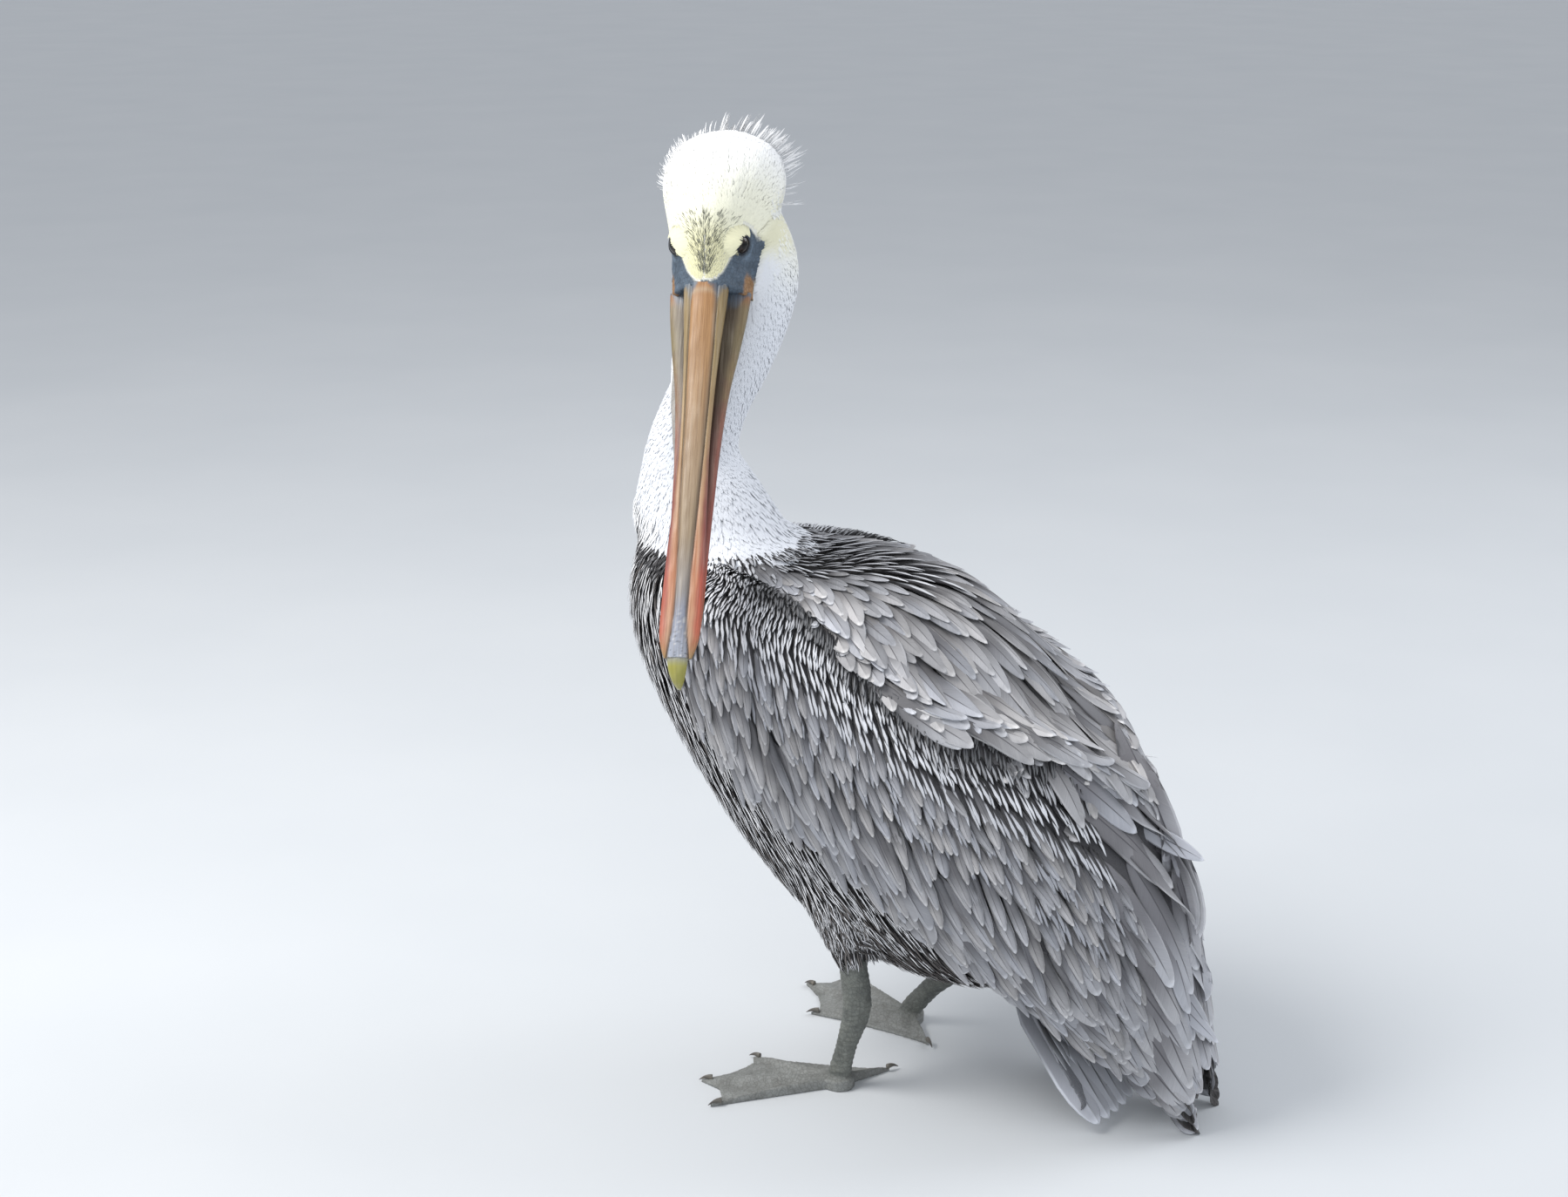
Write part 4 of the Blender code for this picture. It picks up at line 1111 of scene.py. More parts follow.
    # plumes over the hind end of the head, running down on to the neck
    pts = hd[(in_head(hd)[0] < -0.099)]
    pts = pts[RNG.permutation(len(pts))[:1250]]
    q, nn = hform.snap(pts)
    ff, ss, uu = in_head(q)
    dd = jitter(np.broadcast_to(-CRN * 1.0 - FWD * 0.1, q.shape), nn, 5)
    LL = RNG.uniform(0.009, 0.013, len(q))
    P, N = lay_on(hform, q, dd, LL, np.stack([np.full(len(q), -0.0022), np.full(len(q), 0.0), RNG.uniform(0.0002, 0.0012, len(q))], 1))
    N = core.snap(P.reshape(-1, 3))[1].reshape(P.shape)
    co.add("fine", P, N, LL, 0.0037, shade(WHITE, len(q), 0.01), shade(WHITE * 0.94, len(q), 0.01),
           np.stack([0.5 + ss * 6, 0.6 + uu * 5], 1), camber=0.18, thick=0.00016, blunt=0.2)
    # loose plumes of the nape stand out in tufts round the back of the crown
    m = 2300
    f0 = -RNG.uniform(0.062, 0.119, m)
    s0 = RNG.uniform(-0.050, 0.052, m)
    q, nn = hform.snap(head_point(f0, s0, RNG.uniform(-0.022, 0.020, m)))
    ff, ss, uu = in_head(q)
    mid_ = head_point(-0.070, 0.008, -0.018)
    out = q - mid_
    out = out - SIGHT * (out @ SIGHT)[:, None]
    across, upward = out @ arr(-0.4226, 0.9063, 0), out @ arr(-0.2574, -0.1200, 0.9588)
    turn = np.degrees(np.arctan2(upward, across))
    ok = (np.linalg.norm(out, axis=1) > 0.022) & (turn > -12) & (turn < 168) & (nn @ SIGHT < 0.30)
    ok &= RNG.random(m) < np.interp(turn, [-12, 10, 40, 85, 112, 168], [0.25, 0.6, 1.0, 0.7, 0.5, 0.5])
    q, nn, ff, ss, uu, out, turn = pick(ok, q, nn, ff, ss, uu, out, turn)
    m = len(q)
    dd = unit(unit(out) + arr(-0.30, 0.42, 0.25) + RNG.normal(0, 0.16, (m, 3)))
    edge = smooth(0.024, 0.046, np.linalg.norm(out, axis=1))
    LL = (0.006 + 0.015 * RNG.random(m) ** 1.7) * lerp(0.75, 1.0, edge) * np.interp(turn, [90, 115, 168], [1.0, 0.50, 0.36])
    end = q + dd * LL[:, None] + nn * (0.0010 * RNG.normal(0, 1, m))[:, None]
    tuft = np.floor((np.degrees(np.arctan2(out @ arr(-0.2574, -0.1200, 0.9588), out @ arr(-0.4226, 0.9063, 0))) + 12) / 6.5 + RNG.normal(0, 0.18, m)).astype(int)
    for t_ in np.unique(tuft):
        w_ = tuft == t_
        far = RNG.uniform(0.65, 1.35)
        aim = q[w_].mean(0) + unit(dd[w_].mean(0)) * 0.0145 * far
        end[w_] = lerp(q[w_] + (end[w_] - q[w_]) * far, aim, 0.42 if turn[w_].mean() < 100 else 0.0)
    P3 = np.stack([q - nn * 0.001, (q + end) / 2 + nn * 0.0008, end], 1)
    P3[:, :, 2] = np.minimum(P3[:, :, 2], 0.7250)
    co.add("fine", P3, np.stack([nn] * 3, 1), LL, RNG.uniform(0.0009, 0.0015, m), shade(WHITE, m, 0.01), shade(WHITE, m, 0.01),
           np.stack([0.5 + ss * 6, 0.5 - ff * 3], 1) % 1.0, camber=0.2, thick=0.00014, blunt=0.0)
    coats.append(co.make())


# --- neck
def neck_coat():
    st = np.concatenate([stations(neck_at, 0.10, 2.6, 0.0031, rad(-90)), stations(neck_at, 2.6, 7.95, 0.0031, rad(90))[1:]])
    s, a = rows_on(neck_at, st, -math.pi, math.pi, 0.0023)
    p, n = core.snap(neck_at(s, a))
    f_, s_, u_ = in_head(p)
    inhead = (f_ > -0.119) & (u_ > -0.043) & (np.abs(s_) < np.where(f_ > -0.020, 0.036, 0.044)) & (s > 5.2) & ((f_ < -0.003) | (np.abs(s_) < 0.027))
    # the white ends in a shaggy line on the foreneck and low on the back
    front = np.clip((-0.140 - p[:, 1]) / 0.05, 0, 1)
    zline = 0.4065 + 0.026 * front + 0.004 * hash_noise(p, 0.012)
    keep = ~inhead & (p[:, 2] > zline - 0.002)
    keep &= np.linalg.norm((p - arr(0, -0.135, 0))[:, :2], axis=1) < lerp(0.095, 0.2, (s > 1.3) * 1.0)
    s, a, p, n, f_, s_, u_ = pick(keep, s, a, p, n, f_, s_, u_)
    k = len(p)
    d = neck_at(s - 0.15, a) - neck_at(s + 0.0, a)
    d = unit(d) * 1.0 + arr(0, 0, -0.35)
    d = jitter(d, n, 4.5)
    low = smooth(0.47, 0.42, p[:, 2])
    L = lerp(0.0105, 0.016, low) * np.exp(RNG.normal(0, 0.12, k))
    W = lerp(0.0042, 0.0042, low)
    ruff = RNG.random(k) ** 4 * 0.0010
    P3, N3 = lay_on(core, p, d, L, np.stack([np.full(k, -0.0020), -0.0002 + 0 * ruff, 0.0003 + 0.5 * ruff], 1))
    yel = np.exp(-((f_ + 0.055) / 0.030) ** 2) * smooth(-0.075, -0.045, u_) * 0.5
    # painted shade: the white neck is laid down bluish grey, as it looks in shade
    blue = lerp(WHITE, arr(0.775, 0.805, 0.870), 0.80)
    tone = lerp(np.broadcast_to(blue, (k, 3)), CREAM[None], yel[:, None]) * np.exp(RNG.normal(0, 0.012, (k, 1)))
    # yellowish patch low on the foreneck
    uv = atlas(np.stack([0.5 + a / math.pi * 0.49, 0.02 + 0.96 * (s - 1.25) / 6.8], 1), (0.0062, 0.0062))
    half = p[:, 2] > np.quantile(p[:, 2], 0.5)
    for nm, msk in (("coat_neck_upper", half), ("coat_neck_lower", ~half)):
        co = Coat(nm, MAT["white"], "white_plumage")
        co.soft = True
        co.add("fine", P3[msk], N3[msk], L[msk], W[msk], tone[msk], tone[msk] * 0.94, uv[msk], camber=0.18, thick=0.00018, blunt=0.2)
        if nm.endswith("lower"):
            # shaggy foreneck edge: longer white plumes over the dark breast
            m = 420
            aa = RNG.uniform(-math.pi * 0.98, -0.02, m)
            q, nn = core.snap(neck_at(np.full(m, 1.55), aa))
            zz = 0.4065 + 0.026 * np.clip((-0.140 - q[:, 1]) / 0.05, 0, 1)
            q[:, 2] = zz + RNG.uniform(-0.002, 0.012, m)
            q, nn = core.snap(q)
            dd = jitter(np.broadcast_to(arr(0, -0.12, -1), (m, 3)), nn, 14)
            LL = RNG.uniform(0.014, 0.026, m)
            P, N = lay_on(core, q, dd, LL, np.stack([np.full(m, -0.003), np.full(m, 0.0002), RNG.uniform(0.0006, 0.003, m)], 1))
            co.add("fine", P, N, LL, 0.0019, shade(WHITE, m, 0.03), shade(WHITE * 0.8, m, 0.03),
                   np.stack([0.5 + aa / math.pi * 0.49, RNG.uniform(0.0, 0.02, m)], 1), camber=0.2, thick=0.00016, blunt=0.05)
        coats.append(co.make())


# --- breast, belly, flanks, vent and thighs
def under_coat():
    fun = lambda s, a: trunk_at(s, a)
    st = stations(fun, 0.05, 8.9, 0.0074, rad(-60))
    s, a = rows_on(fun, st, rad(-90 - 128), rad(-90 + 128), 0.0036)
    p, n = core.snap(fun(s, a))
    # under the wings there is nothing to see; keep what the wing doesn't cover
    wl = np.abs(p[:, 0])
    cov = np.zeros(len(p), bool)
    for u in np.linspace(0.3, 8.8, 60):
        e = wing_at(np.array([u]), np.array([0.90]))[0]
        t0 = wing_at(np.array([u]), np.array([0.0]))[0]
        cov |= (np.abs(p[:, 1] - (e[1] + t0[1]) / 2 - (p[:, 2] - (e[2] + t0[2]) / 2) * (t0[1] - e[1]) / (t0[2] - e[2] + 1e-6)) < 0.010) & (p[:, 2] > e[2] + 0.014) & (p[:, 2] < t0[2] - 0.004)
    cov &= wl > 0.035
    collar = p[:, 2] > 0.4065 + 0.026 * np.clip((-0.140 - p[:, 1]) / 0.05, 0, 1)
    keep = ~cov & ~collar & ((n[:, 2] < 0.55) | (p[:, 1] < -0.08))
    s, a, p, n = pick(keep, s, a, p, n)
    k = len(p)
    d = fun(np.minimum(s + 0.15, 9), a) - fun(s, a)
    d = unit(d) + arr(0, 0.10, -0.30)
    d = jitter(d, n, 6)
    belly = smooth(0.20, 0.12, p[:, 2])
    L = lerp(0.036, 0.032, belly) * np.exp(RNG.normal(0, 0.14, k))
    W = 0.0042 * np.exp(RNG.normal(0, 0.12, k))
    tip = RNG.random(k) ** 2 * 0.0022
    P3, N3 = lay_on(core, p, d, L, np.stack([np.full(k, -0.0046), -0.0016 + 0.3 * tip, 0.0002 + tip], 1))
    # white shaft streaks on dark brown; each is strongest on breast and flank
    tone = shade(arr(0.90, 0.90, 0.92), k, 0.06)
    inner = smooth(0.085, 0.060, np.abs(p[:, 0])) * smooth(-0.15, -0.09, p[:, 1])
    dull = RNG.random(k) < np.clip(lerp(0.12, 0.30, belly) + 0.45 * inner, 0, 1)
    tone = np.where(dull[:, None], shade(arr(0.120, 0.105, 0.098), k, 0.3), tone)
    alt = shade(BREAST, k, 0.22)
    uv = atlas(np.stack([(a + rad(218)) / rad(256) * 0.98 + 0.01, 0.02 + 0.96 * s / 9.0], 1), (0.0062, 0.0062))
    half = s < np.quantile(s, 0.5)
    for nm, msk in (("coat_breast", half), ("coat_belly", ~half)):
        co = Coat(nm, MAT["shaft"], "breast_plumage")
        co.add("small", P3[msk], N3[msk], L[msk], W[msk], tone[msk], alt[msk], uv[msk], camber=0.16, thick=0.0002, blunt=0.10)
        coats.append(co.make())


def thigh_coat():
    co = Coat("coat_thighs", MAT["shaft"], "breast_plumage")
    for sd, key in ((1, "left"), (-1, "right")):
        foot, heel, shin, hip = LEGS[key]
        n0 = 900
        t = RNG.random(n0)
        ang = RNG.uniform(-math.pi, math.pi, n0)
        base = heel + (shin - heel) * 0.80
        ax = unit(hip - base)
        e1 = unit(np.cross(ax, arr(1, 0, 0)))
        e2 = np.cross(ax, e1)
        r = lerp(0.013, 0.030, t)
        c = base + (hip - base) * (t * 0.92)[:, None]
        q = c + r[:, None] * (np.cos(ang)[:, None] * e1 + np.sin(ang)[:, None] * e2)
        q, nn = core.snap(q)
        dd = jitter(np.broadcast_to(-ax, (n0, 3)), nn, 8)
        LL = RNG.uniform(0.018, 0.027, n0)
        P, N = lay_on(core, q, dd, LL, np.stack([np.full(n0, -0.004), np.full(n0, -0.0008), RNG.uniform(0, 0.0018, n0)], 1))
        # the lowest ones run on past the skin's edge
        low = t < 0.30
        P[low, 1] = q[low] + dd[low] * (LL[low] * 0.5)[:, None] + nn[low] * 0.0004
        P[low, 2] = q[low] + dd[low] * LL[low][:, None] + nn[low] * 0.0006
        tone = np.where(RNG.random((n0, 1)) < 0.3, arr(0.22, 0.20, 0.19), shade(arr(0.70, 0.70, 0.72), n0, 0.1))
        uv = atlas(np.stack([0.25 + 0.5 * (sd < 0) + ang / math.pi * 0.23, 0.02 + 0.95 * t], 1), (0.0062, 0.0062))
        co.add("small", P, N, LL, 0.0034, tone, shade(BREAST, n0, 0.2), uv, camber=0.16, thick=0.0002, blunt=0.1)
    coats.append(co.make())


# --- wings
def wing_surface(side):
    us = np.linspace(0, 10.2, 154)
    vs = np.concatenate([np.linspace(-0.16, 0, 13)[:-1], np.linspace(0, 1.35, 34)])
    g = np.zeros((len(us), len(vs), 3))
    for i, u in enumerate(us):
        if u <= 9:
            g[i] = wing_at(np.full(len(vs), u), vs, side)
        else:
            e = wing_at(np.full(len(vs), 9.0), vs, side)
            g[i] = e + (e - wing_at(np.full(len(vs), 8.8), vs, side)) * 5 * (u - 9)
    v = g.reshape(-1, 3)
    f = []
    m = len(vs)
    for i in range(len(us) - 1):
        for j in range(m - 1):
            a, b, c, d = i * m + j, i * m + j + 1, (i + 1) * m + j + 1, (i + 1) * m + j
            f += [(a, b, c), (a, c, d)] if side > 0 else [(a, c, b), (a, d, c)]
    f = np.array(f)
    n = np.cross(v[f[:, 1]] - v[f[:, 0]], v[f[:, 2]] - v[f[:, 0]])
    mid = v[f].mean(1)
    if (n[:, 0] * side).sum() < 0:
        f = f[:, ::-1]
    return Surface(v, f, 4)


def lean(y):
    """Lie of the wing feathers: angle back from straight down, by fore-and-aft place."""
    return np.radians(np.interp(y, [-0.14, -0.09, -0.03, 0.04, 0.12, 0.20, 0.27], [2, 9, 18, 23, 27, 30, 32]))


def hang(p, extra=0.0):
    t = lean(p[..., 1]) + extra
    return np.stack([0 * t, np.sin(t), -np.cos(t)], -1)


def wing_coat(side, tag):
    surf = wing_surface(side)
    fw = lambda v, u: wing_at(u, v, side)
    uv_of = lambda u, v: np.stack([0.02 + 0.96 * u / 9.3, 0.98 - 0.80 * (v + 0.16)], 1)

    # lesser coverts: narrow, silver-centred, over the rolled upper edge
    co = Coat("coat_lesser_" + tag, MAT["streak"], "grey_plumage")
    vs = [-0.15]
    while vs[-1] < 0.36:
        v = vs[-1]
        arc = 0.30 if v < 0 else 0.105
        vs.append(v + lerp(0.0056, 0.0115, smooth(0.0, 0.32, v)) / (0.26 if v < 0 else 0.115))
    u, v = [], []
    for k, vv in enumerate(vs):
        hi = float(np.interp(vv, [-0.16, 0.05, 0.36], [5.15, 5.35, 6.1]))
        S, A = rows_on(fw, [vv + 1e-4 * k], 0.05, hi, lerp(0.0028, 0.0052, smooth(-0.02, 0.34, vv)))
        # rows wander a little, as real ones do
        v.append(S + RNG.normal(0, 0.006, len(S)))
        u.append(A + (0.5 / 9 if k % 2 else 0))
    u, v = np.concatenate(u), np.concatenate(v)
    # scapulars hide the inner side of the edge from the second covert row back
    u, v = pick(v > np.interp(u, [0.8, 2.2], [-0.20, -0.030]), u, v)
    p, n = surf.snap(fw(v, u))
    k = len(p)
    e = 0.02
    over = unit(fw(v + e, u) - fw(v - e, u))
    w = smooth(-0.02, 0.16, v)[:, None]
    d = unit(over * (1 - w) + hang(p) * w + np.array([0, 0.30, 0]) * (1 - w))
    d = jitter(d, n, 3.5)
    g = smooth(-0.04, 0.34, v)
    L = lerp(0.0150, 0.037, g) * np.exp(RNG.normal(0, 0.10, k))
    W = lerp(0.0038, 0.0076, g) * np.exp(RNG.normal(0, 0.10, k))
    tip = 0.0002 + RNG.random(k) ** 2 * 0.0010
    P, N = lay_on(surf, p, d, L, np.stack([np.full(k, -0.0032), -0.0006 + 0.2 * tip, 0.0008 + tip], 1))
    tone = lerp(shade(SILVER * 1.06, k, 0.06), shade(GREY * 1.00, k, 0.10), (smooth(0.12, 0.38, v))[:, None])
    # painted shadow: the ones just clear of the scapulars' tips are darkened as if shaded by them
    scapular_shadow = smooth(0.075, 0.020, v - lerp(-0.10, 0.055, smooth(0.9, 3.6, u))) * smooth(0.9, 1.5, u)
    tone = tone * (1 - 0.80 * scapular_shadow)[:, None]
    alt = lerp(shade(BLACKISH, k, 0.1), shade(arr(0.10, 0.098, 0.105), k, 0.2), smooth(0.14, 0.36, v)[:, None])
    co.add("small", P, N, L, W, tone, alt, atlas(uv_of(u, v), (0.0062, 0.0062)), camber=0.20, thick=0.00022, blunt=0.22)
    coats.append(co.make())

    # median coverts: longer grey vanes with pale rims and dark gaps
    co = Coat("coat_median_" + tag, MAT["grey"], "grey_plumage", (0.0030, 0.0045))
    vs = [0.27]
    while vs[-1] < 0.74:
        vs.append(vs[-1] + lerp(0.013, 0.023, smooth(0.25, 0.75, vs[-1])) / 0.125)
    u, v = [], []
    for k_, vv in enumerate(vs):
        hi = float(np.interp(vv, [0.25, 0.5, 0.75], [6.2, 6.7, 6.3]))
        S, A = rows_on(fw, [vv + 1e-4 * k_], 0.25, hi, lerp(0.0055, 0.0090, smooth(0.25, 0.75, vv)))
        v.append(S + RNG.normal(0, 0.022, len(S))); u.append(A)
    u, v = np.concatenate(u), np.concatenate(v)
    p, n = surf.snap(fw(v, u))
    k = len(p)
    d = jitter(hang(p, RNG.normal(0, 0.05, k)), n, 5)
    g = smooth(0.25, 0.75, v)
    L = lerp(0.042, 0.068, g) * np.exp(RNG.normal(0, 0.13, k)) * lerp(0.72, 1.0, smooth(0.2, 2.0, u))
    W = lerp(0.0078, 0.0122, g) * np.exp(RNG.normal(0, 0.08, k)) * lerp(0.75, 1.0, smooth(0.2, 2.0, u))
    tip = RNG.random(k) * 0.0024
    P, N = lay_on(surf, p, d, L, np.stack([np.full(k, -0.0034), -0.0004 + 0.4 * tip, 0.0010 + tip], 1))
    mixw = RNG.random((k, 1))
    tone = lerp(shade(GREY, k, 0.15), shade(WARM * 0.96, k, 0.15), mixw)
    co.add("mid", P, N, L, W, tone, np.broadcast_to(arr(0.055, 0.054, 0.060), (k, 3)), atlas(uv_of(u, v), (0.0075, 0.0105)),
           camber=0.34, thick=0.00030, blunt=0.78, twist=RNG.normal(0, 0.13, k), flip=side)
    coats.append(co.make())

    # greater coverts and secondaries: the long vanes along the lower edge
    co = Coat("coat_flight_" + tag, MAT["grey"], "grey_plumage", (0.0080, 0.0110))
    us, vs_, Ls, Ws, kinds = [], [], [], [], []
    for vv, gap, LL, WW, lo, hi in ((0.44, 0.0125, 0.094, 0.0195, 5.3, 8.0), (0.66, 0.0125, 0.082, 0.0185, 0.8, 8.4), (0.80, 0.0130, 0.074, 0.0195, 1.0, 8.7), (0.90, 0.0140, 0.054, 0.0205, 1.4, 8.9)):
        S, A = rows_on(fw, [vv], lo, hi, gap)
        vs_.append(S + RNG.normal(0, 0.010, len(S))); us.append(A)
        Ls.append(np.full(len(S), LL)); Ws.append(np.full(len(S), WW))
    u, v, L, W = map(np.concatenate, (us, vs_, Ls, Ws))
    k = len(u)
    front = smooth(0.6, 2.6, u)
    L = L * lerp(0.62, 1.0, front) * np.exp(RNG.normal(0, 0.07, k))
    W = W * lerp(0.60, 1.0, front)
    p, n = surf.snap(fw(v, u))
    # the tips stop a little past the lower edge
    d = jitter(hang(p, 0.02 + RNG.normal(0, 0.03, k)), n, 3)
    ev = wing_at(u, np.full(k, 1.0), side)
    room = np.linalg.norm(ev - p, axis=1) + lerp(0.006, 0.012, RNG.random(k))
    L = np.minimum(L, np.maximum(room * 1.10, 0.030))
    tip = RNG.random(k) * 0.0012
    P, N = lay_on(surf, p, d, L, np.stack([np.full(k, -0.0040), -0.0010 + 0 * tip, -0.0002 + tip], 1))
    tone = lerp(shade(GREY * 1.03, k, 0.07), shade(WARM, k, 0.06), RNG.random((k, 1)) * 0.6)
    co.add("big", P, N, L, W, tone, np.broadcast_to(arr(0.075, 0.073, 0.080), (k, 3)), atlas(uv_of(u, np.minimum(v, 1.0)), (0.0175, 0.0235)),
           camber=0.22, thick=0.00036, blunt=0.90, skew=0.10, twist=RNG.normal(0, 0.09, k), flip=side)

    # tertials and the stack of long inner feathers over the rump, down to the tip
    rows = []
    for uu, v0, v1, cnt, LL, WW in ((4.75, -0.06, 0.02, 2, 0.110, 0.0200), (5.25, -0.04, 0.12, 2, 0.118, 0.0220), (5.75, 0.02, 0.26, 3, 0.118, 0.0235),
                                    (6.2, 0.00, 0.36, 3, 0.112, 0.0235), (6.65, 0.01, 0.46, 4, 0.104, 0.0230), (7.1, 0.02, 0.60, 4, 0.098, 0.0225),
                                    (7.5, 0.04, 0.74, 4, 0.090, 0.0215), (7.9, 0.06, 0.82, 4, 0.072, 0.0195), (8.3, 0.10, 0.85, 4, 0.052, 0.0170)):
        for q in np.linspace(v0, v1, cnt):
            rows.append((uu + RNG.normal(0, 0.05), q + RNG.normal(0, 0.010), LL * math.exp(RNG.normal(0, 0.05)), WW))
    r = np.array(rows)
    u, v, L, W = r.T
    k = len(u)
    p, n = surf.snap(fw(v, u))
    # they lie along the upper edge, and point to the wing's tip
    e = 0.05
    edge = unit(wing_at(u + e, np.maximum(v, 0.02), side) - wing_at(u - e, np.maximum(v, 0.02), side))
    d = unit(edge * 0.62 + hang(p) * 0.55)
    d = jitter(d, n, 3.0)
    end = wing_at(np.full(k, 9.0), np.clip(v, 0.1, 0.9), side)
    L = np.minimum(L, np.linalg.norm(end - p, axis=1) * 0.99 + 0.006)
    P, N = lay_on(surf, p, d, L, np.stack([np.full(k, -0.0035), np.full(k, 0.0010), 0.0018 + RNG.random(k) * 0.0026], 1))
    P[:, :, 0] = np.where(P[:, :, 0] * side < 0.0012, 0.0012 * side, P[:, :, 0])
    tone = lerp(shade(GREY * 1.22, k, 0.08), shade(WARM * 1.14, k, 0.08), RNG.random((k, 1)) * 0.6)
    co.add("big", P, N, L, W, tone, np.broadcast_to(arr(0.085, 0.080, 0.088), (k, 3)), atlas(uv_of(u, v), (0.0175, 0.0235)),
           camber=0.30, thick=0.00036, blunt=0.95, skew=0.12, twist=RNG.normal(0, 0.09, k), flip=side)

    # dark primary tips beneath
    m = 5
    u = np.linspace(8.40, 8.65, m)
    v = np.linspace(0.10, 0.80, m)
    p, n = surf.snap(fw(v, u))
    d = unit(hang(p))
    L = np.full(m, 0.046)
    P, N = lay_on(surf, p, d, L, np.stack([np.full(m, -0.0044), np.full(m, -0.0034), np.full(m, -0.0026)], 1))
    co.add("big", P, N, L, 0.016, np.broadcast_to(arr(0.050, 0.046, 0.046), (m, 3)), np.broadcast_to(arr(0.02, 0.02, 0.02), (m, 3)),
           atlas(np.stack([np.linspace(0.05, 0.9, m), np.full(m, 0.03)], 1), (0.0175, 0.0235)), camber=0.10, thick=0.0003, blunt=0.7)
    coats.append(co.make())


